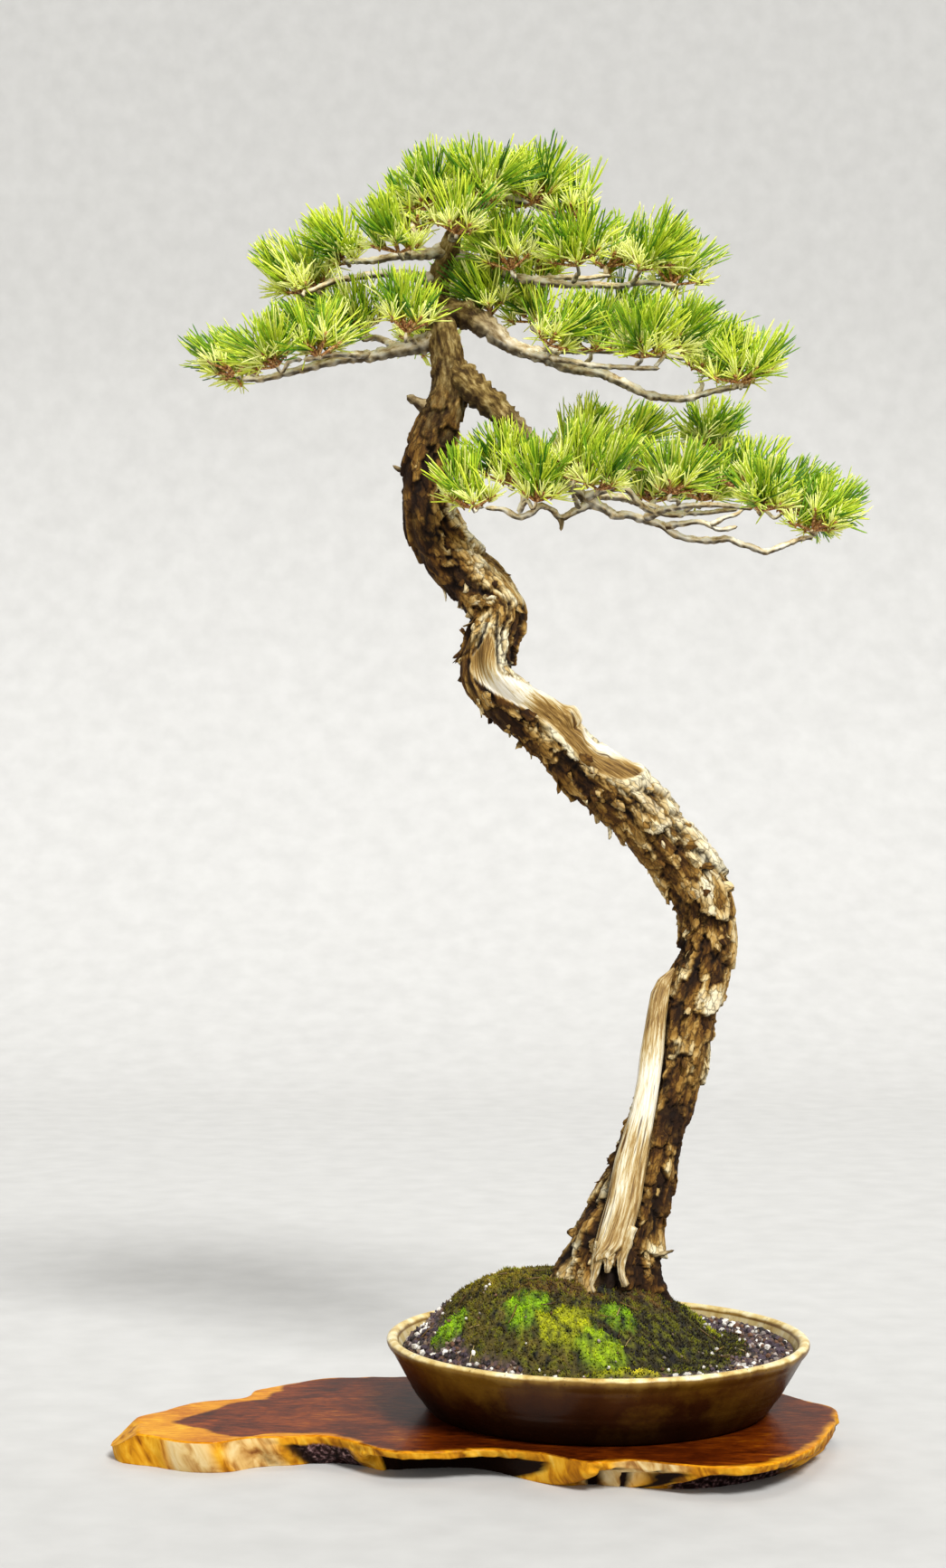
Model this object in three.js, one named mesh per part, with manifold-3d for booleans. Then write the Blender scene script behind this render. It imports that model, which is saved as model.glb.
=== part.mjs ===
// A Monterey pine bonsai: an old twisted trunk with bare deadwood and needle pads, planted in a
// round stoneware bowl that stands on a live-edge burl slab.
// Millimetres, +Z up. The origin lies on the table under the middle of the bowl, and the front
// of the tree faces -Y.
import * as THREE from "three";
import { mergeVertices } from "three/addons/utils/BufferGeometryUtils.js";
import Module from "manifold-3d";

const wasm = await Module();
wasm.setup();

// Driving dimensions
const GAP = 0.3; // clear space left between pieces that touch
const SEED = 11;

const SLAB_THICKNESS = 19;
const SLAB_MIDDLE = [-130, -10]; // a point from which the whole outline can be seen
const SLAB_EDGE_POINTS = 76;
// The top edge, and how far the bark edge falls back from it at the table: [x, y, undercut].
const SLAB_OUTLINE = [
  [-297, -50, 3], [-284, -29, 5], [-268, -9, 6], [-248, 16, 6], [-222, 27, 6], [-215, 50, 6],
  [-195, 68, 8], [-177, 84, 8], [-149, 89, 8], [-120, 91, 9], [-80, 103, 10], [-30, 111, 10],
  [30, 109, 10], [78, 90, 10], [116, 44, 9], [131, 21, 8], [145, 2, 6], [147, -12, 8],
  [141, -42, 12], [130, -80, 18], [111, -122, 30], [84, -147, 42], [60, -151, 46],
  [40, -144, 38], [15, -134, 27], [-11, -138, 34], [-37, -117, 44], [-68, -108, 37],
  [-100, -115, 36], [-126, -111, 30], [-148, -87, 18], [-165, -75, 12], [-192, -77, 11],
  [-212, -76, 8], [-226, -91, 8], [-246, -90, 6], [-270, -74, 3], [-288, -64, 2],
];
// The tip is pared off to a slope: a direction into the wood, and the plane's place along it.
const TIP_SLOPE = [0.56, 0.06, -0.826];
const TIP_PLACE = -174.5;

const POT_SEGMENTS = 32;
const FOOT_HEIGHT = 3;
const FOOT_INNER_RADIUS = 93;
const FLOOR_THICKNESS = 4.7;
const RIM_HEIGHT = 44.5; // top of the rolled lip above the slab
const RIM_RADIUS = 130;
const HOLE_RADIUS = 8;
const HOLE_OFFSETS = [-45, 45]; // drainage holes along X
const SCREEN_SIDE = 26;
const SCREEN_THICKNESS = 1;
const SCREEN_MESH = 2; // openings along each side of a drainage screen

const SOIL_EDGE_HEIGHT = 38; // where the soil meets the wall, above the slab
const MOUND_HEIGHT = 42;
const MOUND_REACH = 98;
const MOUND_TOP = [-22, 4];
const SOIL_RINGS = [0.96, 0.8, 0.64, 0.48, 0.3];

const FLUTE_DEPTH = 0.07; // of the trunk's radius
const TWIG_SIDES = 3;
const TWIG_STEPS = 3;

const NEEDLE_LENGTH = [27, 38];
const SHOOT_LENGTH = [9, 13];
const SHOOT_BELOW = 0.6; // the share of a shoot that lies below its spray's middle
const SHOOT_RADII = [0.9, 1.4, 1.75, 1.2];
const SHOOT_SIDES = 4;
const SHOOTS_IN_SPRAY = 2;
const FORK_HEIGHT = 2; // from a spray's foot to where its side shoot begins
const FORK_SPREAD = 1.15; // sideways over forwards
const CROWN_X = -70; // the crown's middle, which the shoots lean away from
const OUTWARD = 0.007; // of lean for each millimetre from the crown's middle
const BARE_FOOT = 0.36; // the share of a shoot below its lowest needles
const LOWEST_LEAN = 84; // degrees between a needle and its shoot, at the foot
const HIGHEST_LEAN = 32;
const TOP_LEAN = 14;
const LIFT = 0.1; // how much needles turn up towards the light
const LEAST_RISE = 0.3; // of a needle out of its own face
const NEEDLE_SHARE = 0.72; // of the shoot's outer faces, those that carry a needle
const SLIMNESS = 0.4; // a needle's half width over its root's reach along the shoot
const SIBLING_ROOT = 0.12; // the share of their length that needles of one shoot may share
const CLEARANCE = 0.25; // least space between a needle and anything it passes
const TRIES = 40;

// The trunk's middle line with its radius: [x, y, z, radius].
const TRUNK = [
  [4, 2, 74, 26], [5, 2, 90, 30.5], [7, 2, 102, 30], [10, 2, 120, 26.5], [17, 3, 138, 23.5],
  [24, 4, 157, 22], [31, 5, 177, 20], [38, 6, 197, 18], [45, 7, 217, 18],
  [50, 9, 238, 19], [54, 11, 258, 19.8], [61, 13, 278, 18.6], [68, 14, 297, 17],
  [70, 15, 318, 17], [65, 12, 339, 18.6], [53, 9, 358, 19.4], [38, 5, 375, 19],
  [24, 1, 391, 19.6], [8, -3, 404, 20.2], [-8, -6, 416, 19.6], [-22, -10, 430, 18.6],
  [-38, -14, 444, 17], [-55, -17, 456, 15.8], [-67, -17, 472, 16.4], [-66, -10, 491, 16],
  [-62, 1, 511, 17.2], [-74, 8, 529, 17.5], [-90, 10, 546, 18], [-101, 9, 564, 18],
  [-106, 7, 585, 16.4], [-105, 3, 606, 15], [-99, 0, 626, 14.2], [-93, -3, 645, 11.8],
  [-93, -5, 664, 10.4], [-96, -6, 680, 9.8],
  [-99, 4, 695, 9], [-100, 13, 709, 8], [-97, 13, 724, 7], [-91, 5, 740, 5.6],
  [-84, -1, 760, 4], [-74, 0, 776, 2.2],
];

// The root flare, the bare deadwood and the snags: [x, y, z, radius].
const ROOTS = [
  [[2, 0, 132, 13], [-12, -3, 112, 12], [-23, -5, 97, 10], [-33, -7, 82, 6]],
  [[20, 2, 130, 13], [28, 2, 112, 11], [33, 2, 96, 9], [40, 3, 81, 6]],
  [[12, -10, 122, 12], [10, -20, 106, 10], [6, -27, 94, 8], [3, -34, 81, 5]],
  [[12, 12, 124, 12], [12, 22, 106, 11], [12, 28, 94, 9], [12, 36, 81, 5]],
];
const DEADWOOD = [
  [[-1, -22, 92, 8], [4, -21, 118, 9], [12, -18, 142, 9.5], [20, -14, 168, 9],
    [28, -10, 196, 8.5], [35, -6, 228, 7.5], [41, -3, 258, 6], [49, -1, 290, 2]],
  [[20, -25, 92, 6], [19, -22, 114, 7.5], [21, -17, 142, 7], [26, -12, 170, 5]],
  [[-69, -25, 500, 4], [-67, -31, 480, 6], [-54, -31, 465, 7.5], [-32, -27, 451, 8.5],
    [-16, -23, 443, 9], [1, -22, 428, 8], [15, -19, 415, 7], [26, -14, 407, 3]],
];
const SNAGS = [
  [[-100, -2, 634, 5], [-110, -4, 640, 3.4], [-118, -5, 645, 2]],
  [[26, -4, 112, 4], [38, -8, 115, 2.6], [47, -10, 118, 1.4]],
  [[-100, 8, 598, 4], [-122, 6, 600, 2.2], [-127, 5, 603, 1]],
];

// The branches, each from inside what carries it to its tip: [x, y, z, radius].
const BRANCHES = {
  low_right: [[-97, 0, 664, 9.5], [-78, -8, 651, 9], [-63, -12, 636, 8.2], [-48, -14, 621, 7.4],
    [-34, -12, 606, 6.8], [-20, -6, 590, 6.2], [-6, 0, 579, 5.6], [17, 2, 573, 4.8],
    [36, 2, 569, 4.3], [56, 0, 560, 3.9], [78, -4, 555, 3.5], [105, -6, 550, 3],
    [121, -4, 554, 2.6], [134, 0, 558, 2]],
  low_right_inner: [[-4, 0, 581, 3.4], [-26, -10, 575, 2.6], [-50, -18, 570, 2.2],
    [-70, -20, 573, 1.8]],
  low_right_back: [[-10, -2, 582, 3.6], [13, 18, 585, 3], [30, 40, 582, 2.5],
    [60, 50, 578, 2.1], [92, 48, 580, 1.7]],
  low_right_front: [[30, 2, 570, 3], [46, -22, 567, 2.5], [68, -38, 562, 2.1],
    [92, -46, 563, 1.8]],
  low_right_upper: [[-38, -13, 610, 4.4], [-28, 10, 612, 3.2], [-8, 34, 608, 2.4],
    [26, 50, 606, 1.9], [58, 58, 608, 1.6]],
  mid_right: [[-99, 5, 697, 8.4], [-82, 2, 696, 8], [-70, -4, 689, 7], [-54, -8, 676, 5.4],
    [-36, -6, 669, 4.8], [-14, -2, 662, 4.2], [10, 3, 657, 3.6], [32, 4, 647, 3.2],
    [52, 0, 644, 2.8], [74, -5, 648, 2.3], [94, -8, 651, 1.8]],
  mid_right_back: [[-44, -7, 672, 3.6], [-22, 18, 676, 2.8], [6, 40, 680, 2.3],
    [38, 50, 678, 2], [62, 50, 676, 1.6]],
  mid_right_front: [[-46, -8, 672, 3.2], [-26, -28, 664, 2.4], [6, -40, 658, 2], [36, -42, 656, 1.6]],
  top_right: [[-95, 10, 736, 5.4], [-76, 12, 731, 4.6], [-57, 8, 723, 3.8], [-36, 2, 717, 3.2],
    [-14, 0, 714, 2.8], [10, -3, 713, 2.4], [32, -4, 714, 2.1], [50, -2, 713, 1.7]],
  top_right_back: [[-42, 4, 718, 2.8], [-20, 22, 722, 2.3], [10, 28, 725, 1.7]],
  crown_right: [[-87, 1, 752, 4.2], [-73, -4, 762, 3.4], [-56, -7, 766, 2.8], [-40, -10, 762, 2.4],
    [-26, -11, 755, 2], [-12, -10, 755, 1.6]],
  crown_back: [[-85, 0, 758, 3], [-74, 22, 768, 2.4], [-56, 40, 774, 1.8]],
  crown_front: [[-90, 4, 742, 3.2], [-88, -18, 746, 2.4], [-84, -34, 748, 1.8]],
  upper_left: [[-95, 10, 738, 5], [-106, -2, 733, 4.2], [-120, -10, 730, 3.4],
    [-138, -8, 728, 2.7], [-156, 2, 729, 2]],
  upper_left_rise: [[-106, -2, 733, 3.2], [-112, 14, 744, 2.4], [-116, 26, 758, 1.8]],
  mid_left: [[-100, 12, 719, 5], [-118, 11, 722, 3.8], [-136, 7, 722, 3], [-158, 0, 717, 2.4],
    [-180, -8, 708, 1.8]],
  low_left: [[-97, -4, 682, 6.6], [-114, -8, 674, 5.4], [-132, -12, 670, 4.6],
    [-154, -15, 666, 3.8], [-176, -14, 661, 3.2], [-200, -10, 656, 2.6], [-220, -4, 655, 2]],
  low_left_front: [[-140, -13, 669, 2.8], [-158, -30, 666, 2.2], [-180, -38, 662, 1.7]],
  low_left_back: [[-122, -10, 673, 3.4], [-134, 14, 682, 2.6], [-152, 30, 688, 2],
    [-166, 38, 692, 1.6]],
  back: [[-100, 12, 704, 6], [-96, 28, 704, 4.8], [-96, 46, 708, 3.8], [-90, 62, 724, 2.8],
    [-76, 76, 742, 2]],
  back_low: [[-96, 40, 706, 3.2], [-102, 48, 694, 2.4], [-106, 54, 684, 1.8]],
};

// The middle of each needle spray.
const SPRAYS = {
  low_right: [
    [-79, -28, 580], [-55, -14, 596], [-38, -36, 583], [-14, -34, 596],
    [3, -42, 589], [-8, 28, 616], [20, 53, 621], [49, -36, 586],
    [75, 64, 624], [72, 31, 588], [92, -11, 592], [100, -53, 573],
    [123, 28, 580], [137, -8, 566], [141, 8, 572], [41, 81, 592],
  ],
  mid_right: [
    [-66, 11, 704], [-40, 28, 704], [-28, -36, 677], [-1, -8, 677],
    [15, 50, 702], [48, -28, 676], [27, -50, 668], [68, 56, 686],
    [72, 3, 665], [92, -20, 655],
  ],
  top_right: [
    [-54, -14, 727], [-34, 36, 733], [-11, -20, 728], [12, 31, 736],
    [30, -22, 725], [50, 8, 720],
  ],
  crown: [
    [-49, 50, 779], [-85, 22, 775], [-101, -22, 764], [-72, -31, 766],
    [-36, -17, 768], [-12, -14, 757], [-87, -39, 744], [-115, 34, 760],
    [-124, -34, 733],
  ],
  mid_left: [[-160, 14, 736], [-179, 20, 722], [-188, -20, 711]],
  low_left: [
    [-228, -11, 661], [-220, 25, 666], [-200, -36, 662], [-174, -42, 668],
    [-172, 45, 700], [-151, 6, 690], [-119, -39, 684],
  ],
  back: [[-88, 81, 726], [-108, 81, 692], [-67, 92, 756]],
};

const UP = new THREE.Vector3(0, 0, 1);

// A repeatable random number from 0 to 1.
let state = SEED;
function random() {
  state = (state + 0x6d2b79f5) | 0;
  let mixed = Math.imul(state ^ (state >>> 15), 1 | state);
  mixed = (mixed + Math.imul(mixed ^ (mixed >>> 7), 61 | mixed)) ^ mixed;
  return ((mixed ^ (mixed >>> 14)) >>> 0) / 4294967296;
}

function between([low, high]) {
  return low + (high - low) * random();
}

function randomDirection() {
  const height = 2 * random() - 1;
  const angle = 2 * Math.PI * random();
  const flat = Math.sqrt(1 - height * height);
  return new THREE.Vector3(flat * Math.cos(angle), flat * Math.sin(angle), height);
}

// A closed surface as a solid that can be joined and cut.
function solidOf(geometry) {
  const bare = geometry.clone();
  bare.deleteAttribute("normal");
  bare.deleteAttribute("uv");
  const merged = mergeVertices(bare, 1e-3);
  return new wasm.Manifold(new wasm.Mesh({
    numProp: 3,
    vertProperties: new Float32Array(merged.attributes.position.array),
    triVerts: new Uint32Array(merged.index.array),
  }));
}

function geometryOf(solid) {
  const { vertProperties, triVerts } = solid.getMesh();
  const geometry = new THREE.BufferGeometry();
  geometry.setAttribute("position", new THREE.BufferAttribute(vertProperties, 3));
  geometry.setIndex(new THREE.BufferAttribute(triVerts, 1));
  return geometry;
}

function joined(geometries) {
  return geometries.map(solidOf).reduce((whole, piece) => whole.add(piece));
}

function endsOf(points) {
  return [points[0], points.at(-1)].map(([x, y, z]) => new THREE.Vector3(x, y, z));
}

// The middle line through [x, y, z, radius] points, with the radius along it.
function middleLine(points) {
  const curve = new THREE.CatmullRomCurve3(points.map(([x, y, z]) => new THREE.Vector3(x, y, z)));
  curve.arcLengthDivisions = 20 * points.length;
  const radiusAt = (along) => {
    const step = curve.getUtoTmapping(along) * (points.length - 1);
    const first = Math.min(Math.floor(step), points.length - 2);
    return THREE.MathUtils.lerp(points[first][3], points[first + 1][3], step - first);
  };
  return { curve, radiusAt };
}

// A tapered limb: a closed cylinder whose rings are moved onto the middle line.
function limb(points, sides, steps, swell = () => 1, extra = 0) {
  const { curve, radiusAt } = middleLine(points);
  const frames = curve.computeFrenetFrames(steps);
  const geometry = new THREE.CylinderGeometry(1, 1, 1, sides, steps);
  const place = geometry.attributes.position;
  for (let i = 0; i < place.count; i++) {
    const [across, height, deep] = [place.getX(i), place.getY(i), place.getZ(i)];
    const ring = Math.round((height + 0.5) * steps);
    const along = ring / steps;
    const radius = radiusAt(along) * swell(Math.atan2(deep, across), along) + extra;
    const point = curve.getPointAt(along);
    point.addScaledVector(frames.binormals[ring], across * radius);
    point.addScaledVector(frames.normals[ring], deep * radius);
    place.setXYZ(i, point.x, point.y, point.z);
  }
  return geometry;
}

function material(color, roughness) {
  return new THREE.MeshStandardMaterial({ color, roughness, metalness: 0 });
}

function node(name, geometry, color, roughness) {
  const mesh = new THREE.Mesh(geometry, material(color, roughness));
  mesh.name = name;
  return mesh;
}

// The slab: one slice of burl, flat above and below, with a wavy bark edge that is undercut.
function displaySlab() {
  const corners = SLAB_OUTLINE.map((corner) => new THREE.Vector3(...corner)).reverse();
  const edge = new THREE.CatmullRomCurve3(corners, true).getSpacedPoints(SLAB_EDGE_POINTS);
  const outline = edge.map(({ x, y }) => new THREE.Vector2(x, y));
  const geometry = new THREE.ExtrudeGeometry(new THREE.Shape(outline), {
    depth: SLAB_THICKNESS,
    steps: 4,
    bevelEnabled: false,
  });
  const place = geometry.attributes.position;
  const [middleX, middleY] = SLAB_MIDDLE;
  for (let i = 0; i < place.count; i++) {
    const [x, y] = [place.getX(i), place.getY(i)];
    const apart = edge.map((point) => Math.hypot(point.x - x, point.y - y));
    const undercut = edge[apart.indexOf(Math.min(...apart))].z;
    const drop = 1 - place.getZ(i) / SLAB_THICKNESS;
    const [outX, outY] = [x - middleX, y - middleY];
    const kept = 1 - (undercut * drop * drop) / Math.hypot(outX, outY);
    place.setXY(i, middleX + outX * kept, middleY + outY * kept);
  }
  const slab = solidOf(geometry).trimByPlane(TIP_SLOPE, TIP_PLACE);
  return node("display_slab", geometryOf(slab), 0x8a3c12, 0.3);
}

// The bowl's wall from the foot to the lip and back down inside: [radius, height above the slab].
const POT_OUTSIDE = [
  [FOOT_INNER_RADIUS, FOOT_HEIGHT], [FOOT_INNER_RADIUS, 0], [102, 0], [105, 1.2], [108, 5],
  [114.5, 14], [121, 26], [127, 36.5], [129, 39.5], [RIM_RADIUS, 42.3], [128.6, RIM_HEIGHT - 0.4],
  [126.5, RIM_HEIGHT], [124.5, RIM_HEIGHT - 0.8],
];
const POT_INSIDE = [[122.5, 40], [119, 33], [112, 21], [105, 12.5], [97, FOOT_HEIGHT + FLOOR_THICKNESS]];
const POT_BOTTOM = SLAB_THICKNESS + GAP;
const POT_FLOOR = POT_BOTTOM + FOOT_HEIGHT + FLOOR_THICKNESS;

function turned(profile, segments) {
  const points = profile.map(([radius, height]) => new THREE.Vector2(radius, height));
  return new THREE.LatheGeometry(points, segments).rotateX(Math.PI / 2);
}

function pot() {
  const profile = [[0, FOOT_HEIGHT], ...POT_OUTSIDE, ...POT_INSIDE, [0, FOOT_HEIGHT + FLOOR_THICKNESS]];
  let bowl = solidOf(turned(profile, POT_SEGMENTS).translate(0, 0, POT_BOTTOM));
  for (const x of HOLE_OFFSETS) {
    const drill = new THREE.CylinderGeometry(HOLE_RADIUS, HOLE_RADIUS, 4 * FLOOR_THICKNESS, 16);
    bowl = bowl.subtract(solidOf(drill.rotateX(Math.PI / 2).translate(x, 0, POT_BOTTOM)));
  }
  return node("pot", geometryOf(bowl), 0xb08a4a, 0.35);
}

function screenBlank(x, extra) {
  const side = SCREEN_SIDE + 2 * extra;
  const thick = SCREEN_THICKNESS + 2 * extra;
  const box = new THREE.BoxGeometry(side, side, thick);
  return box.translate(x, 0, POT_FLOOR + GAP + SCREEN_THICKNESS / 2);
}

// A square of stiff plastic mesh that lies over a drainage hole and keeps the grit in.
function drainageScreen(x, number) {
  let screen = solidOf(screenBlank(x, 0));
  const pitch = SCREEN_SIDE / (SCREEN_MESH + 0.5);
  for (let i = 0; i < SCREEN_MESH; i++) {
    for (let j = 0; j < SCREEN_MESH; j++) {
      const opening = new THREE.BoxGeometry(0.6 * pitch, 0.6 * pitch, 4 * SCREEN_THICKNESS);
      const [across, deep] = [i, j].map((k) => (k - (SCREEN_MESH - 1) / 2) * pitch);
      screen = screen.subtract(solidOf(opening.translate(x + across, deep, POT_FLOOR + 1)));
    }
  }
  return node(`drainage_screen_${number}`, geometryOf(screen), 0x2c2c2a, 0.6);
}

// The height of the soil's surface: low along the rim, mounded up to the root flare.
function soilHeight(x, y) {
  const [topX, topY] = MOUND_TOP;
  const share = Math.min(1, Math.hypot(x - topX, y - topY) / MOUND_REACH);
  const ripple = 1.1 * Math.sin(0.09 * x + 1) * Math.cos(0.11 * y);
  const rise = MOUND_HEIGHT * (1 - share ** 3) ** 1.2;
  return SLAB_THICKNESS + SOIL_EDGE_HEIGHT + rise + ripple * (1 - share);
}

function flutes(angle, along) {
  const broad = Math.cos(3 * angle + 11 * along);
  const narrow = Math.cos(5 * angle - 17 * along);
  return 1 + FLUTE_DEPTH * (0.6 * broad + 0.4 * narrow);
}

const TRUNK_LIMB = { points: TRUNK, sides: 9, steps: 46, swell: flutes };
const FOOT_LIMBS = [
  ...ROOTS.map((points) => ({ points, sides: 6, steps: 3 })),
  ...DEADWOOD.slice(0, 2).map((points) => ({ points, sides: 6, steps: 5 })),
];
const UPPER_LIMBS = [
  ...DEADWOOD.slice(2).map((points) => ({ points, sides: 6, steps: 8 })),
  ...SNAGS.map((points) => ({ points, sides: 5, steps: 2 })),
  ...Object.values(BRANCHES).map((points) =>
    ({ points, sides: points[0][3] > 5 ? 6 : 4, steps: points.length })),
];

function limbOf({ points, sides, steps, swell }, extra = 0) {
  return limb(points, sides, steps, swell, extra);
}

// The trunk and its root flare, or the same shape a little larger.
function footOfTrunk(extra = 0) {
  return [TRUNK_LIMB, ...FOOT_LIMBS].map((one) => limbOf(one, extra));
}

// The soil fills the bowl up to a mound, with a plain hole for the foot of the trunk.
function soil() {
  const wall = [...POT_INSIDE].reverse().filter(([, height]) => height < SOIL_EDGE_HEIGHT);
  const sides = wall.map(([radius, height]) => [radius - 2 * GAP, POT_BOTTOM + height + GAP]);
  const edge = sides.at(-1)[0] + 2;
  const surface = SOIL_RINGS.map((share) => [edge * share, soilHeight(0, 0)]);
  const top = [[edge, SLAB_THICKNESS + SOIL_EDGE_HEIGHT - 1.5], ...surface, [0, soilHeight(0, 0)]];
  const geometry = turned([[0, POT_FLOOR + GAP], ...sides, ...top], POT_SEGMENTS);
  const place = geometry.attributes.position;
  for (let i = 0; i < place.count; i++) {
    const [x, y] = [place.getX(i), place.getY(i)];
    if (Math.abs(place.getZ(i) - soilHeight(0, 0)) < 1e-3) place.setZ(i, soilHeight(x, y));
  }
  let mound = solidOf(geometry);
  for (const x of HOLE_OFFSETS) mound = mound.subtract(solidOf(screenBlank(x, GAP)));
  const hole = footOfTrunk(2 * GAP);
  const deeper = footOfTrunk(2 * GAP).map((one) => one.translate(0, 0, -2 * GAP));
  mound = mound.subtract(joined([...hole, ...deeper]));
  return node("soil", geometryOf(mound), 0x5a4a3c, 0.95);
}

// Space that is taken: tapered round bars, tested against each new twig, shoot and needle.
const taken = [];

function bar(start, end, startRadius, endRadius, owner) {
  return { start, end, startRadius, endRadius, owner };
}

function barsAlong(points, steps, owner) {
  const { curve, radiusAt } = middleLine(points);
  const places = Array.from({ length: steps + 1 }, (_, i) => curve.getPointAt(i / steps));
  const radii = places.map((_, i) => radiusAt(i / steps) * (1 + FLUTE_DEPTH));
  return radii.slice(1).map((radius, i) => bar(places[i], places[i + 1], radii[i], radius, owner));
}

// The space left between two bars, at the places where their middle lines come closest.
function spaceBetween(one, two, skip = 0) {
  const along = new THREE.Vector3().subVectors(one.end, one.start);
  const other = new THREE.Vector3().subVectors(two.end, two.start);
  const apart = new THREE.Vector3().subVectors(one.start, two.start);
  const [a, b, c] = [along.dot(along), along.dot(other), other.dot(other)];
  const [d, e] = [along.dot(apart), other.dot(apart)];
  const { clamp } = THREE.MathUtils;
  const even = a * c - b * b;
  let s = even > 1e-9 ? clamp((b * e - c * d) / even, skip, 1) : skip;
  const t = clamp((b * s + e) / c, skip, 1);
  s = clamp((b * t - d) / a, skip, 1);
  const gap = apart.clone().addScaledVector(along, s).addScaledVector(other, -t).length();
  const near = THREE.MathUtils.lerp(one.startRadius, one.endRadius, s);
  return gap - near - THREE.MathUtils.lerp(two.startRadius, two.endRadius, t);
}

function isWood({ owner }) {
  return owner === "wood";
}

function isClear(candidate, clearance, allowed = () => false) {
  return taken.every((other) => allowed(other) || spaceBetween(candidate, other) > clearance);
}

const branchLines = Object.values(BRANCHES).map((points) => middleLine(points));

// The place on a branch from which a twig would grow to the given point.
function twigOrigin(point) {
  let best = null;
  for (const { curve, radiusAt } of branchLines) {
    for (let along = 0.12; along <= 1; along += 0.04) {
      const place = curve.getPointAt(along);
      const towards = new THREE.Vector3().subVectors(point, place);
      const distance = towards.length();
      const growth = curve.getTangentAt(along).addScaledVector(UP, 0.8).normalize();
      const score = distance * (1.7 - 0.7 * towards.normalize().dot(growth));
      if (!best || score < best.score) {
        best = { score, place, distance, growth, radius: radiusAt(along) };
      }
    }
  }
  return best;
}

// A twig that leaves its branch along the growth and ends at the spray, pointing along its axis.
function twigTo(point, axis) {
  const { place, distance, growth, radius } = twigOrigin(point);
  const shoulder = place.clone().lerp(point, 0.4).addScaledVector(growth, 0.1 * distance);
  const neck = point.clone().addScaledVector(axis, -Math.min(5, 0.3 * distance));
  const thick = Math.min(0.7 * radius, 2.2);
  return [
    [...place, thick], [...shoulder, Math.max(1.2, 0.8 * thick)], [...neck, 1.1],
    [...point.clone().addScaledVector(axis, -1.5 * GAP), 1],
  ];
}

// A slim shoot whose faces are drawn out to points: each point is one three-sided needle.
function needledShoot(points, owner) {
  const steps = SHOOT_RADII.length - 1;
  const bare = limb(points, SHOOT_SIDES, steps);
  bare.deleteAttribute("normal");
  bare.deleteAttribute("uv");
  const core = mergeVertices(bare, 1e-3);
  const places = Array.from({ length: core.attributes.position.count }, (_, i) =>
    new THREE.Vector3().fromBufferAttribute(core.attributes.position, i));
  const [foot, tip] = endsOf(points);
  const length = foot.distanceTo(tip);
  const axis = tip.sub(foot).normalize();
  const faces = [];
  const siblings = [];
  for (let i = 0; i < core.index.count; i += 3) {
    const corners = [0, 1, 2].map((k) => core.index.getX(i + k));
    const [a, b, c] = corners.map((k) => places[k]);
    const root = a.clone().add(b).add(c).divideScalar(3);
    const normal = b.clone().sub(a).cross(c.clone().sub(a)).normalize();
    const along = root.clone().sub(foot).dot(axis) / length;
    const reach = Math.max(...[a, b, c].map((corner) => corner.distanceTo(root)));
    const bears = along > BARE_FOOT && random() < NEEDLE_SHARE;
    const site = { root, reach, normal, axis, along, foot, owner, siblings };
    const point = bears ? needlePoint(site) : null;
    if (point) {
      const apex = places.push(point) - 1;
      faces.push(...[0, 1, 2].flatMap((k) => [corners[k], corners[(k + 1) % 3], apex]));
    } else {
      faces.push(...corners);
    }
  }
  const geometry = new THREE.BufferGeometry();
  geometry.setAttribute("position", new THREE.Float32BufferAttribute(places.flatMap((p) => [...p]), 3));
  geometry.setIndex(faces);
  return geometry;
}

// The tip of one needle: it leans out from the shoot, less towards the shoot's end, and is bent
// until it is clear of everything around it.
function needlePoint({ root, reach, normal, axis, along, foot, owner, siblings }) {
  const outward = root.clone().sub(foot);
  outward.addScaledVector(axis, -outward.dot(axis)).normalize();
  for (let attempt = 0; attempt < TRIES; attempt++) {
    const lean = THREE.MathUtils.lerp(LOWEST_LEAN, HIGHEST_LEAN, along);
    const spread = THREE.MathUtils.degToRad(along > 0.95 ? TOP_LEAN : lean);
    const direction = axis.clone().multiplyScalar(Math.cos(spread));
    direction.addScaledVector(outward, Math.sin(spread));
    direction.addScaledVector(randomDirection(), 0.12 + 0.018 * attempt);
    direction.addScaledVector(UP, LIFT).normalize();
    if (direction.dot(normal) < LEAST_RISE) continue;
    const end = root.clone().addScaledVector(direction, between(NEEDLE_LENGTH));
    const needle = bar(root, end, reach, 0, owner);
    const slim = bar(root, end, SLIMNESS * reach, 0, owner);
    const beside = siblings.every((other) => spaceBetween(slim, other, SIBLING_ROOT) > 0);
    if (!beside || !isClear(needle, CLEARANCE, (other) => other.owner === owner)) continue;
    taken.push(needle);
    siblings.push(slim);
    return end;
  }
  return null;
}

// Which way a spray points: up, out from the crown's middle, with a little chance.
function sprayAxis(point, chance) {
  const outward = new THREE.Vector3(point.x - CROWN_X, point.y, 0).multiplyScalar(OUTWARD);
  return outward.add(UP).addScaledVector(randomDirection(), chance).normalize();
}

function shootPoints(start, axis, length) {
  return SHOOT_RADII.map((radius, i) => {
    const place = start.clone().addScaledVector(axis, (length * i) / (SHOOT_RADII.length - 1));
    return [...place, radius];
  });
}

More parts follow.
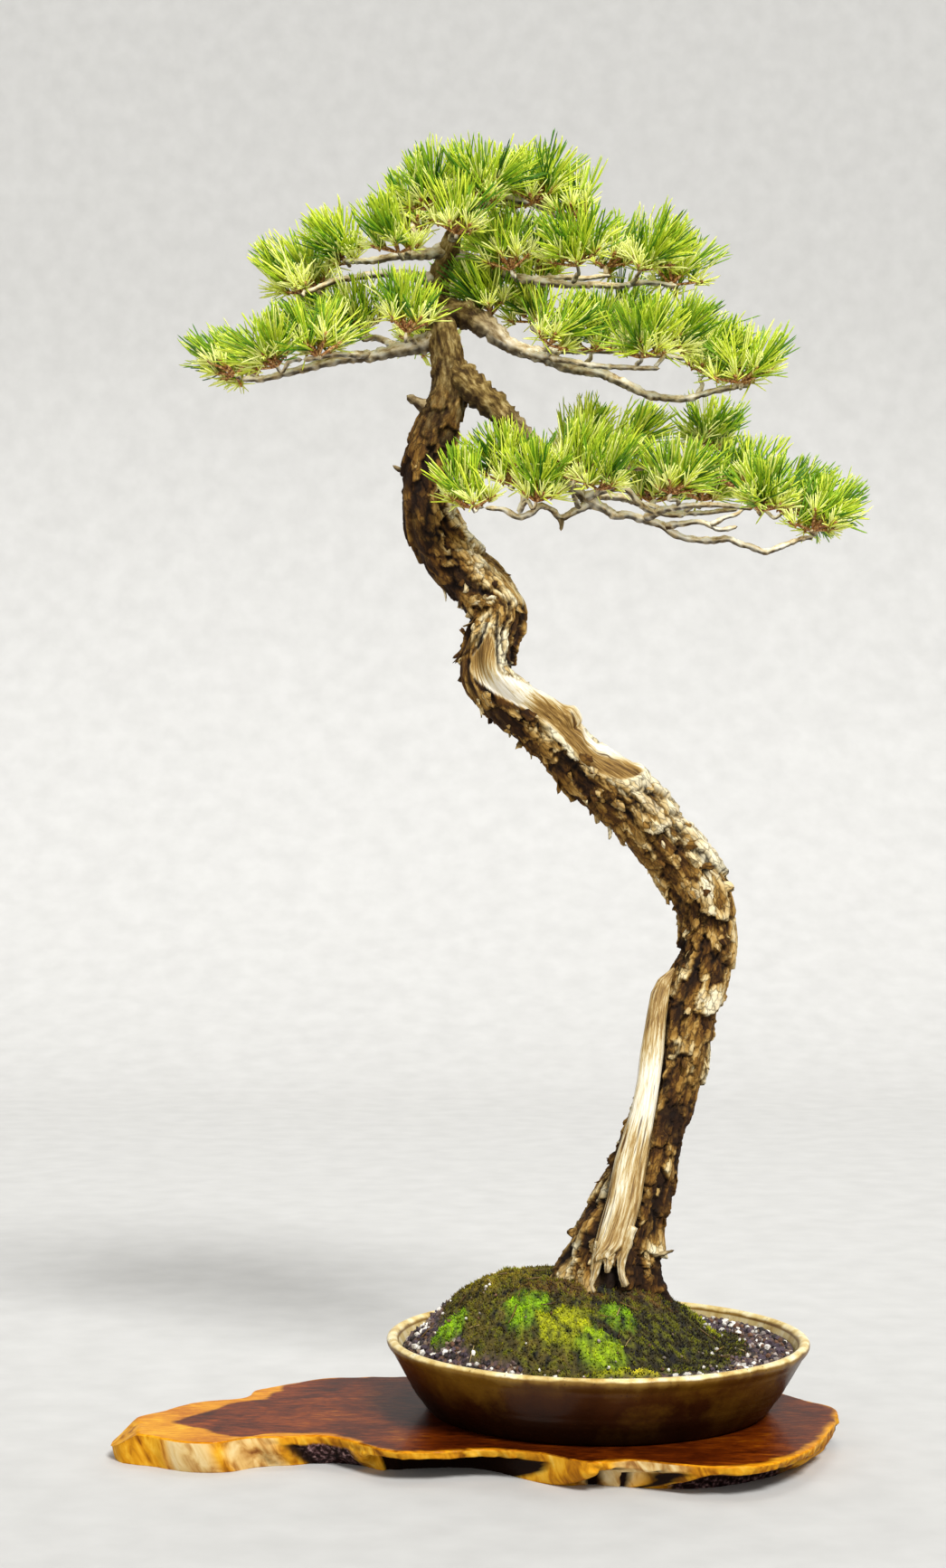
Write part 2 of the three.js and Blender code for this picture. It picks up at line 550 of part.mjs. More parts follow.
// A spray's first shoot stands on the end of its twig. Both are tried until they pass clear of
// every other shoot.
function firstShoot(middle, name) {
  const owner = `${name}_1`;
  for (let attempt = 0; attempt < TRIES; attempt++) {
    const axis = sprayAxis(middle, 0.25 + 0.02 * attempt);
    const length = between(SHOOT_LENGTH);
    const base = middle.clone().addScaledVector(axis, -SHOOT_BELOW * length);
    const twig = twigTo(base, axis);
    const points = shootPoints(base, axis, length);
    const core = barsAlong(points, 1, owner);
    const path = barsAlong(twig, TWIG_STEPS, "wood");
    const coreFits = core.every((piece) => isClear(piece, CLEARANCE));
    const twigFits = path.every((piece) => isClear(piece, CLEARANCE, isWood));
    if (coreFits && twigFits) {
      taken.push(...core, ...path);
      return { twig, shoot: { points, owner } };
    }
  }
  throw new Error(`${name} has no room`);
}

// Side shoots fork from a little above the first shoot's foot.
function sideShoots({ points: first }, name) {
  const [foot, tip] = endsOf(first);
  const axis = tip.sub(foot).normalize();
  const fork = foot.clone().addScaledVector(axis, FORK_HEIGHT);
  const turn = 2 * Math.PI * random();
  const shoots = [];
  for (let i = 1; i < SHOOTS_IN_SPRAY; i++) {
    for (let attempt = 0; attempt < TRIES; attempt++) {
      const around = turn + (2 * Math.PI * i) / (SHOOTS_IN_SPRAY - 1) + 0.1 * attempt;
      const side = new THREE.Vector3(Math.cos(around), Math.sin(around), 0.1 * random());
      const lean = axis.clone().addScaledVector(side, FORK_SPREAD).normalize();
      const points = shootPoints(fork, lean, between(SHOOT_LENGTH));
      const [start, end] = endsOf(points.slice(1));
      const owner = `${name}_${i + 1}`;
      const core = bar(start, end, SHOOT_RADII[1], SHOOT_RADII.at(-1), owner);
      if (!isClear(core, CLEARANCE, (other) => other.owner.startsWith(`${name}_`))) continue;
      taken.push(core);
      shoots.push({ points, owner });
      break;
    }
  }
  return shoots;
}

// The twigs and the shoots are all placed first, so that needles can be bent clear of them.
function placeSprays() {
  const placed = [];
  for (const [pad, rows] of Object.entries(SPRAYS)) {
    rows.forEach(([x, y, z], index) => {
      const name = `needles_${pad}_${index + 1}`;
      const { twig, shoot } = firstShoot(new THREE.Vector3(x, y, z), name);
      placed.push({ name, twig, shoots: [shoot, ...sideShoots(shoot, name)] });
    });
  }
  return placed;
}

function pineWood(placed) {
  const twigs = placed.map(({ twig }) => limb(twig, TWIG_SIDES, TWIG_STEPS));
  return joined([...footOfTrunk(), ...UPPER_LIMBS.map((one) => limbOf(one)), ...twigs]);
}

const bonsai = new THREE.Group();
bonsai.add(displaySlab(), pot(), soil());
HOLE_OFFSETS.forEach((x, i) => bonsai.add(drainageScreen(x, i + 1)));
for (const { points, steps } of [TRUNK_LIMB, ...FOOT_LIMBS, ...UPPER_LIMBS]) {
  taken.push(...barsAlong(points, steps, "wood"));
}
const placed = placeSprays();
bonsai.add(node("pine_wood", geometryOf(pineWood(placed)), 0x6b543c, 0.85));
for (const { name, shoots } of placed) {
  const spray = joined(shoots.map(({ points, owner }) => needledShoot(points, owner)));
  bonsai.add(node(name, geometryOf(spray), 0x6f9a34, 0.5));
}

export default bonsai;
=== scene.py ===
"""A Monterey pine bonsai: an old twisted pine with bare deadwood and needle pads, planted in a
round stoneware bowl that stands on a polished slab of burl.

Blender works in metres here, +Z up, with the front of the tree towards -Y. Sizes in the sections
are in millimetres, and become metres where a mesh is written."""
import math

import bpy
import numpy as np
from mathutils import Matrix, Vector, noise


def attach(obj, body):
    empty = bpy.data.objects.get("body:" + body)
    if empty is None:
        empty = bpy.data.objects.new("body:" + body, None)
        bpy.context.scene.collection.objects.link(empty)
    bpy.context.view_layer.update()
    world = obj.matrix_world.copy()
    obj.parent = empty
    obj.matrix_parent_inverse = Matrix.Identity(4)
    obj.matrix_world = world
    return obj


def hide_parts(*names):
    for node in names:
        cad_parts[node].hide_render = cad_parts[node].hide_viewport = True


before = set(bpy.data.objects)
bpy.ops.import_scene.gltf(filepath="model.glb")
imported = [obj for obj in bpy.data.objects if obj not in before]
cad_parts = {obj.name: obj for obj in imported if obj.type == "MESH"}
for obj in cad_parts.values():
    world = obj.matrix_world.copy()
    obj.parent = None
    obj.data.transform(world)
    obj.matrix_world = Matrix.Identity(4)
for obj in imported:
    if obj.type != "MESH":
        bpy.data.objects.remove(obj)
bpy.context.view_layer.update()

# The display slab: one slice sawn from a burl, planed flat above and below, with its natural
# edge left on, then sanded and oiled to a gloss. Dark red-brown heartwood fills the middle, a
# band of yellow sapwood follows the edge, and the bark side is hollowed, folded and undercut.
MM = 0.001
SLAB_THICKNESS = 19
SLAB_MIDDLE = np.array([-130, -10])
EDGE_BAND = 46  # how far in from the edge the rows of the top still follow it
ROUNDED_IN, ROUNDED_DOWN = 1.4, 1.1  # the sanded corner round the top
# The top edge and how far the side falls back from it at the table: x, y, undercut.
SLAB_EDGE = [
    (-294.8, -50, 3), (-284, -29, 5), (-268, -9, 6), (-248, 16, 6), (-222, 27, 6), (-215, 50, 6),
    (-195, 68, 8), (-177, 84, 8), (-149, 89, 8), (-120, 91, 9), (-80, 103, 10), (-30, 111, 10),
    (30, 109, 10), (78, 90, 10), (116, 44, 9), (131, 21, 8), (145, 2, 6), (147, -12, 8),
    (141, -42, 12), (130, -80, 18), (111, -122, 30), (84, -147, 42), (60, -150.3, 46),
    (40, -144, 38), (15, -134, 27), (-11, -138, 34), (-37, -117, 44), (-68, -108, 37),
    (-100, -115, 36), (-126, -111, 30), (-148, -87, 18), (-165, -75, 12), (-192, -77, 11),
    (-210, -79, 8), (-228, -91.5, 8), (-246, -90, 6), (-270, -74, 3), (-288, -64, 2),
]
SLAB_AROUND = 560
SLAB_INSETS = [46, 38, 31, 25, 21, 17.5, 14.5, 12, 10, 8.2, 6.7, 5.4, 4.3, 3.4, 2.6, 1.9, 1.3,
               0.9, 0.5, 0.2]
SLAB_SIDE_ROWS = 34
TIP_SLOPE = (0.56, 0.06, 0.826)  # the pared tip: a plane's direction, and its place along it
TIP_PLACE = -174.5
# Parts of the front edge from left to right: where x begins and ends, how deep each pocket is as a
# share of POCKET_DEPTH, and how far each lobe stands out.
BARK_STRETCHES = [(-189, -150), (66, 118)]
POCKET_DEPTH = 2.5
POCKETS = [(-227, -222, 0.5), (-201, -197, 0.5), (-193, -184, 0.8), (-139, -33, 1), (2, 14, 1),
           (26, 34, 1), (42, 60, 1)]
OVERHUNG_STRETCHES = [(-140, -34), (-2, 48), (58, 122)]
LOBES = [(-232, -214, 2.0), (-205, -194, 1.6), (-147, -138, 4.0), (-30, -4, 3.4), (12, 26, 2.2),
         (50, 62, 3.0)]


def srgb(hex_colour):
    """The linear colour of an sRGB hex value."""
    parts = [int(hex_colour[i:i + 2], 16) / 255 for i in (0, 2, 4)]
    return [p / 12.92 if p <= 0.04045 else ((p + 0.055) / 1.055) ** 2.4 for p in parts] + [1.0]


def node(material, kind, inputs=None, stops=None, **settings):
    """Adds a shader node: its settings, its linked or fixed inputs, and a ramp's colour stops. An
    input may be another node, which is then linked by the first output that it has in use."""
    made = material.node_tree.nodes.new("ShaderNode" + kind)
    for key, value in settings.items():
        setattr(made, key, value)
    for socket, value in (inputs or {}).items():
        if isinstance(value, bpy.types.Node):
            value = next(output for output in value.outputs if output.enabled)
        if isinstance(value, bpy.types.NodeSocket):
            material.node_tree.links.new(value, made.inputs[socket])
        else:
            made.inputs[socket].default_value = value
    if stops:
        ramp = made.color_ramp.elements
        while len(ramp) < len(stops):
            ramp.new(0.5)
        for element, (place, colour) in zip(ramp, stops):
            element.position = place
            element.color = srgb(colour)
    return made


def new_material(name):
    """A material with an empty node tree."""
    made = bpy.data.materials.new(name)
    made.use_nodes = True
    made.node_tree.nodes.clear()
    return made


def smooth_step(low, high, value):
    """0 below low and 1 above high, with an S-shaped rise between."""
    share = np.clip((np.asarray(value) - low) / (high - low), 0, 1)
    return share * share * (3 - 2 * share)


def window(low, high, soft, value):
    """1 between low and high, fading to 0 over a soft edge on both sides."""
    return smooth_step(low - soft, low + soft, value) * (1 - smooth_step(high - soft, high + soft, value))


def noise_at(points, size, octaves=1, seed=0):
    """Smooth noise, about -1 to 1, at each point, with lumps of the given size."""
    spots = (np.asarray(points) / size + 19.7 * seed).tolist()
    if octaves == 1:
        return np.array([noise.noise(spot) for spot in spots])
    return np.array([noise.fractal(spot, 0.7, 2.1, octaves) for spot in spots])


def smooth_line(rows, count, closed=False):
    """Evenly spaced points on a smooth curve through the given ones. Numbers after x, y and z,
    such as a radius, are carried along in straight steps."""
    rows = np.asarray(rows, float)
    spots = rows[:, :3]
    if closed:
        hull = np.vstack([spots[-1:], spots, spots[:2]])
        rows = np.vstack([rows, rows[:1]])
    else:
        hull = np.vstack([2 * spots[0] - spots[1], spots, 2 * spots[-1] - spots[-2]])
    fine = 24
    steps = np.linspace(0, 1, fine, endpoint=False)[:, None]
    pieces = []
    for p0, p1, p2, p3 in zip(hull, hull[1:], hull[2:], hull[3:]):
        d0, d1, d2 = [max(np.linalg.norm(b - a) ** 0.5, 1e-4) for a, b in ((p0, p1), (p1, p2), (p2, p3))]
        out = ((p1 - p0) / d0 - (p2 - p0) / (d0 + d1) + (p2 - p1) / d1) * d1
        into = ((p2 - p1) / d1 - (p3 - p1) / (d1 + d2) + (p3 - p2) / d2) * d1
        bend, twist = 3 * (p2 - p1) - 2 * out - into, 2 * (p1 - p2) + out + into
        pieces.append(p1 + steps * (out + steps * (bend + steps * twist)))
    dense = np.vstack([*pieces, hull[-2]])
    walked = np.r_[0, np.cumsum(np.linalg.norm(np.diff(dense, axis=0), axis=1))]
    even = np.linspace(0, walked[-1], count)
    knots = np.interp(even, walked, np.arange(len(dense)) / fine)
    columns = [np.interp(even, walked, dense[:, k]) for k in range(3)]
    columns += [np.interp(knots, np.arange(len(rows)), rows[:, k]) for k in range(3, rows.shape[1])]
    return np.column_stack(columns)


def keep(piece, name, values):
    """Stores a value, a vector or a colour on each point of a piece, for its material."""
    values = np.asarray(values, np.float32)
    kinds = {1: ("FLOAT", "value"), 3: ("FLOAT_VECTOR", "vector"), 4: ("FLOAT_COLOR", "color")}
    kind, field = kinds[1 if values.ndim == 1 else values.shape[1]]
    piece.data.attributes.new(name, kind, "POINT").data.foreach_set(field, values.ravel())


def select_only(*pieces):
    """Makes the given pieces the only selected ones, and the first of them the active one."""
    bpy.ops.object.select_all(action="DESELECT")
    for piece in pieces:
        piece.select_set(True)
    bpy.context.view_layer.objects.active = pieces[0]


def close_up(piece):
    """Merges points that meet, turns all faces outwards and shades them smooth."""
    select_only(piece)
    bpy.ops.object.mode_set(mode="EDIT")
    bpy.ops.mesh.select_all(action="SELECT")
    bpy.ops.mesh.remove_doubles(threshold=1e-6)
    bpy.ops.mesh.normals_make_consistent(inside=False)
    bpy.ops.object.mode_set(mode="OBJECT")
    bpy.ops.object.shade_smooth()


def rolled(name, around, rows, place):
    """A grid rolled into a closed body. place(turn, row) gives the points and what to store on
    them; the last column lands on the first, and the first and last rows each on one point."""
    bpy.ops.object.select_all(action="DESELECT")
    bpy.ops.mesh.primitive_grid_add(x_subdivisions=around, y_subdivisions=rows, size=2)
    piece = bpy.context.object
    piece.name = piece.data.name = name
    flat = np.empty(3 * len(piece.data.vertices))
    piece.data.vertices.foreach_get("co", flat)
    turn, level = (flat.reshape(-1, 3)[:, :2].T + 1) / 2
    points, stored = place(turn, np.rint(level * rows).astype(int))
    piece.data.vertices.foreach_set("co", (points * MM).ravel())
    for key, values in stored.items():
        keep(piece, key, values)
    close_up(piece)
    return piece


slab_edge = smooth_line(SLAB_EDGE, SLAB_AROUND + 1, closed=True)
slab_rows = [("inner", share) for share in (0, 0.2, 0.4, 0.55, 0.7, 0.8, 0.88, 0.95)]
slab_rows += [("top", inset) for inset in SLAB_INSETS]
slab_rows += [("side", drop) for drop in np.linspace(0, 1, SLAB_SIDE_ROWS)]
slab_rows += [("under", share) for share in (0.97, 0.93, 0.85, 0.7, 0.5, 0.25, 0)]


def place_slab(turn, row):
    """The slab's points, from the middle of its top over its side to the middle below."""
    around = np.rint(turn * SLAB_AROUND).astype(int) % SLAB_AROUND
    edge, undercut = slab_edge[around, :2], slab_edge[around, 2]
    ray = edge - SLAB_MIDDLE
    reach = np.linalg.norm(ray, axis=1)
    ray = ray / reach[:, None]
    part = np.array([name for name, _ in slab_rows])[row]
    amount = np.array([value for _, value in slab_rows])[row]
    inset = np.where(part == "top", amount, 0.0)
    inset = np.where(part == "inner", reach - amount * (reach - EDGE_BAND), inset)
    drop = np.where(part == "side", amount, np.where(part == "under", 1.0, 0.0))
    front = smooth_step(-45, -60, edge[:, 1])
    along = edge[:, 0]
    rim = np.column_stack([edge, np.zeros(len(edge))])
    wander = 1.5 * noise_at(rim, 14, seed=1) + 0.6 * noise_at(rim, 4, seed=2)
    overhung = front * sum(window(low, high, 5, along) for low, high in OVERHUNG_STRETCHES)
    overhung = np.maximum(overhung, (1 - front) * smooth_step(0.05, 0.3, noise_at(rim, 40, seed=3)))
    lip = 0.2 + 0.07 * noise_at(rim, 9, seed=4)
    fall = drop ** 2 * (1 - overhung) + overhung * (0.25 * drop + 0.75 * smooth_step(lip, lip + 0.3, drop))
    # Folds that run down the side, slanting to the right, and lumps and pits over them.
    slanted = np.column_stack([edge[:, 0] - 11 * drop, edge[:, 1], 8 * drop])
    folds = np.abs(noise_at(slanted, 9, seed=5)) - 0.25
    relief = 3.0 * folds + 1.3 * noise_at(slanted, 4.5, seed=6) + 0.5 * noise_at(slanted, 1.9, seed=7)
    calm = 1 - 0.88 * smooth_step(-204, -224, along)
    relief *= calm * smooth_step(0.02, 0.2, drop) * (1 - 0.8 * smooth_step(0.93, 1, drop))
    lobe = front * sum(height * window(low, high, 4, along - 8 * drop) for low, high, height in LOBES)
    relief += lobe * smooth_step(0.1, 0.4, drop) * (1 - 0.5 * drop)
    bark = front * sum(window(low, high, 3, along - 6 * drop) for low, high in BARK_STRETCHES)
    bark = np.maximum(bark, (1 - front) * smooth_step(-0.1, 0.25, noise_at(rim, 30, seed=8)))
    bark *= smooth_step(lip, lip + 0.12, drop) * (1 - np.clip(lobe, 0, 1)) * smooth_step(-272, -254, along)
    pocket = front * sum(share * window(low, high, 2.5, along - 9 * drop) for low, high, share in POCKETS)
    pocket *= smooth_step(lip, lip + 0.1, drop) * (1 - np.clip(lobe, 0, 1))
    pits = bark * np.clip(noise_at(slanted, 2.6, seed=9), 0, 1) * 2.2
    out = wander * np.exp(-inset / 7) + relief - pits - POCKET_DEPTH * pocket - undercut * fall - inset
    share = np.where(part == "under", amount, 1.0)
    flat = SLAB_MIDDLE + ray * ((reach + out) * share)[:, None]
    rounded = 1 - np.clip(inset / ROUNDED_IN, 0, 1)
    height = SLAB_THICKNESS - ROUNDED_DOWN * (1 - np.sqrt(np.clip(1 - rounded ** 2, 0, 1)))
    height = np.where(part == "side", (SLAB_THICKNESS - ROUNDED_DOWN) * (1 - drop), height)
    height = np.where(part == "under", 0.0, height)
    pared = (TIP_SLOPE[0] * flat[:, 0] + TIP_SLOPE[1] * flat[:, 1] - TIP_PLACE) / TIP_SLOPE[2]
    pared += 0.9 * noise_at(np.column_stack([flat, height]), 12, seed=10)
    height = np.minimum(height, np.maximum(pared, 0))
    points = np.column_stack([flat, height])
    # The sapwood band is wide round the pared tip and narrow elsewhere.
    band = 1.5 + 36 * smooth_step(-188, -258, flat[:, 0]) + 6 * front * smooth_step(-155, -200, along)
    band += 9 * window(-222, -206, 6, along) * (1 - front) + 5 * front * window(-235, -150, 14, along)
    band += 3 * front * smooth_step(20, 60, along)
    side = 0.85 * smooth_step(0.3, 1.6, SLAB_THICKNESS - pared)
    side = np.where((part == "side") | (part == "under"), 1.0, side)
    # Painted shade: the low places of the folds, the pits in the bark and the pockets are marked to be
    # darkened.
    hollow = np.maximum(np.clip(-relief / 2.2, 0, 1) * side * calm + pits / 2.2, 1.25 * pocket)
    cream = side * np.clip(window(-258, -232, 5, along) + 0.8 * window(-222, -194, 4, along)
                           + window(6, 44, 6, along), 0, 1) * front
    return points, {"sap": band - inset, "side": side, "bark": bark, "hollow": hollow, "cream": cream}


slab = rolled("burl_slab", SLAB_AROUND, len(slab_rows) - 1, place_slab)

# Oiled and buffed burl: deep red-brown wood under a thin coat that gives it a soft sheen. It is
# darkest round where the bowl stands: the burl's darker heart, with painted shade of the bowl. The
# sapwood edge glows yellow. The bark side is duller, and paler where it is fresh.
burl = new_material("oiled_burl_wood")
place = node(burl, "TexCoord").outputs["Object"]
swirl = node(burl, "TexNoise", {"Vector": place, "Scale": 16, "Detail": 4, "Distortion": 1.2})
drift = node(burl, "Mapping", {"Vector": place, "Scale": (22, 95, 60), "Rotation": (0, 0, 0.22)})
grain = node(burl, "TexNoise", {"Vector": drift, "Scale": 1.6, "Detail": 8,
                                "Roughness": 0.62, "Distortion": 1.6})
lines = node(burl, "TexNoise", {"Vector": drift, "Scale": 6.5, "Detail": 5, "Distortion": 0.8})
mixed = node(burl, "Mix", {0: 0.5, 6: swirl, 7: grain}, data_type="RGBA")
mixed = node(burl, "Mix", {0: 0.3, 6: mixed, 7: lines}, data_type="RGBA")
heart = node(burl, "ValToRGB", {0: mixed}, stops=[
    (0.33, "180701"), (0.42, "3a1202"), (0.5, "602404"), (0.58, "8c3e05"), (0.68, "c67a0c")])
# Painted shade of the bowl over the burl's darker heart: the top darkens within 0.1 to 0.22 m of the bowl's
# middle.
from_middle = node(burl, "VectorMath", {0: place}, operation="LENGTH")
deep = node(burl, "MapRange", {0: from_middle, 1: 0.1, 2: 0.22, 3: 0.55, 4: 0.0})
heart = node(burl, "Mix", {0: deep, 6: heart, 7: srgb("2c0b02")}, data_type="RGBA")
sap_tone = node(burl, "ValToRGB", {0: mixed}, stops=[
    (0.34, "8e4802"), (0.45, "bc7008"), (0.55, "d89414"), (0.68, "eeb830")])
ragged = node(burl, "TexNoise", {"Vector": place, "Scale": 75, "Detail": 5, "Distortion": 0.6})
sap, side, bark, hollow, cream = [node(burl, "Attribute", attribute_name=key).outputs["Fac"]
                                  for key in ("sap", "side", "bark", "hollow", "cream")]
sap = node(burl, "Math", {0: ragged, 1: 14.0, 2: sap}, operation="MULTIPLY_ADD")
sap = node(burl, "MapRange", {0: sap, 1: 4.0, 2: 11.0}, interpolation_type="SMOOTHSTEP")
top = node(burl, "Mix", {0: sap, 6: heart, 7: sap_tone}, data_type="RGBA")
stained = node(burl, "Mapping", {"Vector": place, "Rotation": (0, -0.5, 0), "Scale": (0.008, 0.008, 0.02)},
               vector_type="TEXTURE")
stain = node(burl, "TexNoise", {"Vector": stained, "Scale": 1.0, "Detail": 6, "Distortion": 0.7})
side_wood = node(burl, "ValToRGB", {0: stain}, stops=[
    (0.28, "6e3a08"), (0.4, "a86a12"), (0.5, "cc8c18"), (0.62, "dea62c"), (0.78, "ebc45c")])
cream_wood = node(burl, "ValToRGB", {0: stain}, stops=[
    (0.28, "7a4a24"), (0.4, "b08448"), (0.5, "cfae70"), (0.62, "dec692"), (0.78, "ead8b0")])
side_wood = node(burl, "Mix", {0: cream, 6: side_wood, 7: cream_wood}, data_type="RGBA")
bark_speck = node(burl, "TexNoise", {"Vector": place, "Scale": 420, "Detail": 5})
slab_bark = node(burl, "ValToRGB", {0: bark_speck}, stops=[
    (0.36, "120a0a"), (0.5, "33201f"), (0.6, "6a4f50"), (0.72, "a98c86")])
barked = node(burl, "Mix", {0: bark, 6: side_wood, 7: slab_bark}, data_type="RGBA")
# Painted shade: the marked hollows of the side go almost black.
dark = node(burl, "Math", {0: hollow, 1: 0.9}, operation="MULTIPLY", use_clamp=True)
barked = node(burl, "Mix", {0: dark, 6: barked, 7: srgb("180b05")}, data_type="RGBA")
colour = node(burl, "Mix", {0: side, 6: top, 7: barked}, data_type="RGBA")
gloss = node(burl, "MapRange", {0: side, 3: 0.34, 4: 0.5})
pores = node(burl, "TexNoise", {"Vector": place, "Scale": 900, "Detail": 3})
bump = node(burl, "Bump", {"Strength": 0.12, "Distance": 0.0006, "Height": pores})
shader = node(burl, "BsdfPrincipled", {
    "Base Color": colour, "Roughness": gloss, "IOR": 1.4,
    "Specular IOR Level": 0.02, "Coat Weight": 0.08, "Coat Roughness": 0.12, "Normal": bump})
node(burl, "OutputMaterial", {0: shader})
slab.data.materials.append(burl)
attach(slab, "root")
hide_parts("display_slab")

# The bowl: stoneware thrown on a wheel, so faint throwing rings run round it and it is a touch
# out of true. A speckled ash glaze breaks from pale cream on the rolled lip through ochre and
# olive to red-brown at the foot, deepened there to almost black with painted shade. Two drainage
# holes go through its floor.
BOWL_BOTTOM = 19.3
BOWL_AROUND = 176
# The wall as radius, height and the rows up to this point, from under the floor to inside it.
BOWL_PROFILE = [
    (0, 3, 0), (60, 3, 4), (90, 3, 4), (93, 2.6, 2), (93, 0.4, 2), (94, 0, 1), (101.4, 0, 3),
    (103.2, 0.3, 2), (105, 1.2, 2), (108, 5, 5), (111.2, 9.4, 4), (114.5, 14, 5), (117.8, 20, 5),
    (121, 26, 5), (124.2, 31.6, 5), (126.6, 36, 4), (127.8, 37.3, 2), (129.2, 39, 3),
    (130.1, 40.8, 3), (130.2, 42.3, 3), (129.4, 43.7, 3), (128, 44.5, 3), (126.4, 44.6, 3),
    (124.8, 44, 3), (123.4, 42.4, 3), (122.4, 40, 3), (120.8, 36.6, 3), (119, 33, 3),
    (112, 21, 6), (105, 12.5, 4), (97, 7.7, 3), (60, 7.7, 3), (0, 7.7, 3),
]
INSIDE_ROWS = 27
HOLE_PLACES = [-45, 45]
HOLE_RADIUS = 8
DRILL_LENGTH = 30

bowl_rows = [BOWL_PROFILE[0][:2]]
for (r0, h0, _), (r1, h1, steps) in zip(BOWL_PROFILE, BOWL_PROFILE[1:]):
    bowl_rows += [(r0 + (r1 - r0) * k / steps, h0 + (h1 - h0) * k / steps) for k in range(1, steps + 1)]
bowl_rows = np.array(bowl_rows)
bowl_rows[1:-1] = (bowl_rows[:-2] + 2 * bowl_rows[1:-1] + bowl_rows[2:]) / 4


def place_bowl(turn, row):
    """The bowl's points, from under its floor over the lip to the floor inside."""
    angle = 2 * math.pi * turn
    radius, height = bowl_rows[row].T
    wall = smooth_step(4, 12, height) * smooth_step(100, 104, radius)
    rings = noise_at(np.column_stack([height * 0.9, angle * 0, angle * 0]), 2.6, seed=11)
    climbing = np.column_stack([height + 0.6 * np.sin(angle), np.cos(angle), np.sin(angle)])
    rings += 0.5 * noise_at(climbing, 5, seed=12)
    true = 1 + 0.0035 * np.cos(2 * angle + 0.7) + 0.0015 * np.cos(3 * angle)
    radius = radius * (1 + (true - 1) * smooth_step(5, 30, height)) + 0.28 * rings * wall
    lift = 0.7 * np.cos(angle - 2.9) * smooth_step(10, 44, height)
    points = np.column_stack([radius * np.cos(angle), radius * np.sin(angle), BOWL_BOTTOM + height + lift])
    return points, {"rise": height, "within": np.where(row >= len(bowl_rows) - INSIDE_ROWS, 1.0, 0.0)}


bowl = rolled("stoneware_bowl", BOWL_AROUND, len(bowl_rows) - 1, place_bowl)
for hole in HOLE_PLACES:
    bpy.ops.object.select_all(action="DESELECT")
    bpy.ops.mesh.primitive_cylinder_add(
        vertices=40, radius=HOLE_RADIUS * MM, depth=DRILL_LENGTH * MM,
        location=(hole * MM, 0, BOWL_BOTTOM * MM))
    drill = bpy.context.object
    bpy.context.view_layer.objects.active = bowl
    cut = bowl.modifiers.new("drainage_hole", "BOOLEAN")
    cut.object, cut.operation, cut.solver = drill, "DIFFERENCE", "EXACT"
    bpy.ops.object.modifier_apply(modifier=cut.name)
    bpy.data.objects.remove(drill)

# The glaze: dark at the foot and lighter upwards, with runs, and worn thin to ochre in places.
# The near-black low on the wall is painted shade over the glaze's own red-brown.
glaze = new_material("ash_glazed_stoneware")
place = node(glaze, "TexCoord").outputs["Object"]
rise, within = [node(glaze, "Attribute", attribute_name=key).outputs["Fac"] for key in ("rise", "within")]
cloud = node(glaze, "TexNoise", {"Vector": place, "Scale": 24, "Detail": 5, "Roughness": 0.6})
streak = node(glaze, "Mapping", {"Vector": place, "Scale": (90, 90, 14)})
runs = node(glaze, "TexNoise", {"Vector": streak, "Scale": 1.0, "Detail": 4})
uneven = node(glaze, "Math", {0: cloud, 1: 16.0, 2: rise}, operation="MULTIPLY_ADD")
uneven = node(glaze, "Math", {0: runs, 1: 13.0, 2: uneven}, operation="MULTIPLY_ADD")
band = node(glaze, "MapRange", {0: uneven, 1: 13.5, 2: 61.5})
body = node(glaze, "ValToRGB", {0: band}, stops=[
    (0.0, "0d0401"), (0.25, "1a0a02"), (0.48, "2b1204"), (0.66, "3d1e06"), (0.82, "54340c"),
    (0.94, "86662a")])
thin = node(glaze, "TexNoise", {"Vector": place, "Scale": 15, "Detail": 6, "Roughness": 0.66})
ochre = node(glaze, "MapRange", {0: thin, 1: 0.51, 2: 0.66, 4: 0.7})
ochre = node(glaze, "Math", {0: ochre, 1: band}, operation="MULTIPLY")
body = node(glaze, "Mix", {0: ochre, 6: body, 7: srgb("7c5814")}, data_type="RGBA")
lip_line = node(glaze, "TexNoise", {"Vector": place, "Scale": 60, "Detail": 4})
lip_height = node(glaze, "Math", {0: lip_line, 1: 3.4, 2: rise}, operation="MULTIPLY_ADD")
lip = node(glaze, "MapRange", {0: lip_height, 1: 43.8, 2: 45.4}, interpolation_type="SMOOTHSTEP")
cream = node(glaze, "ValToRGB", {0: runs}, stops=[(0.3, "b8964c"), (0.5, "dcc688"), (0.7, "f2e8c4")])
lip = node(glaze, "Math", {0: within, 1: 0.7, 2: lip}, operation="MULTIPLY_ADD", use_clamp=True)
glazed = node(glaze, "Mix", {0: lip, 6: body, 7: cream}, data_type="RGBA")
# Iron specks, drawn about 0.8 mm across so that they show.
specks = node(glaze, "TexVoronoi", {"Vector": place, "Scale": 420})
speck = node(glaze, "MapRange", {0: specks, 1: 0.30, 2: 0.12})
scatter = node(glaze, "TexNoise", {"Vector": place, "Scale": 150, "Detail": 3})
few = node(glaze, "MapRange", {0: scatter, 1: 0.5, 2: 0.62, 4: 0.75})
speck = node(glaze, "Math", {0: speck, 1: few}, operation="MULTIPLY")
glazed = node(glaze, "Mix", {0: speck, 6: glazed, 7: srgb("2c1608")}, data_type="RGBA")
pooled = node(glaze, "TexNoise", {"Vector": place, "Scale": 260, "Detail": 4})
bump = node(glaze, "Bump", {"Strength": 0.25, "Distance": 0.0005, "Height": pooled})
gloss = node(glaze, "MapRange", {0: cloud, 1: 0.3, 2: 0.7, 3: 0.32, 4: 0.5})
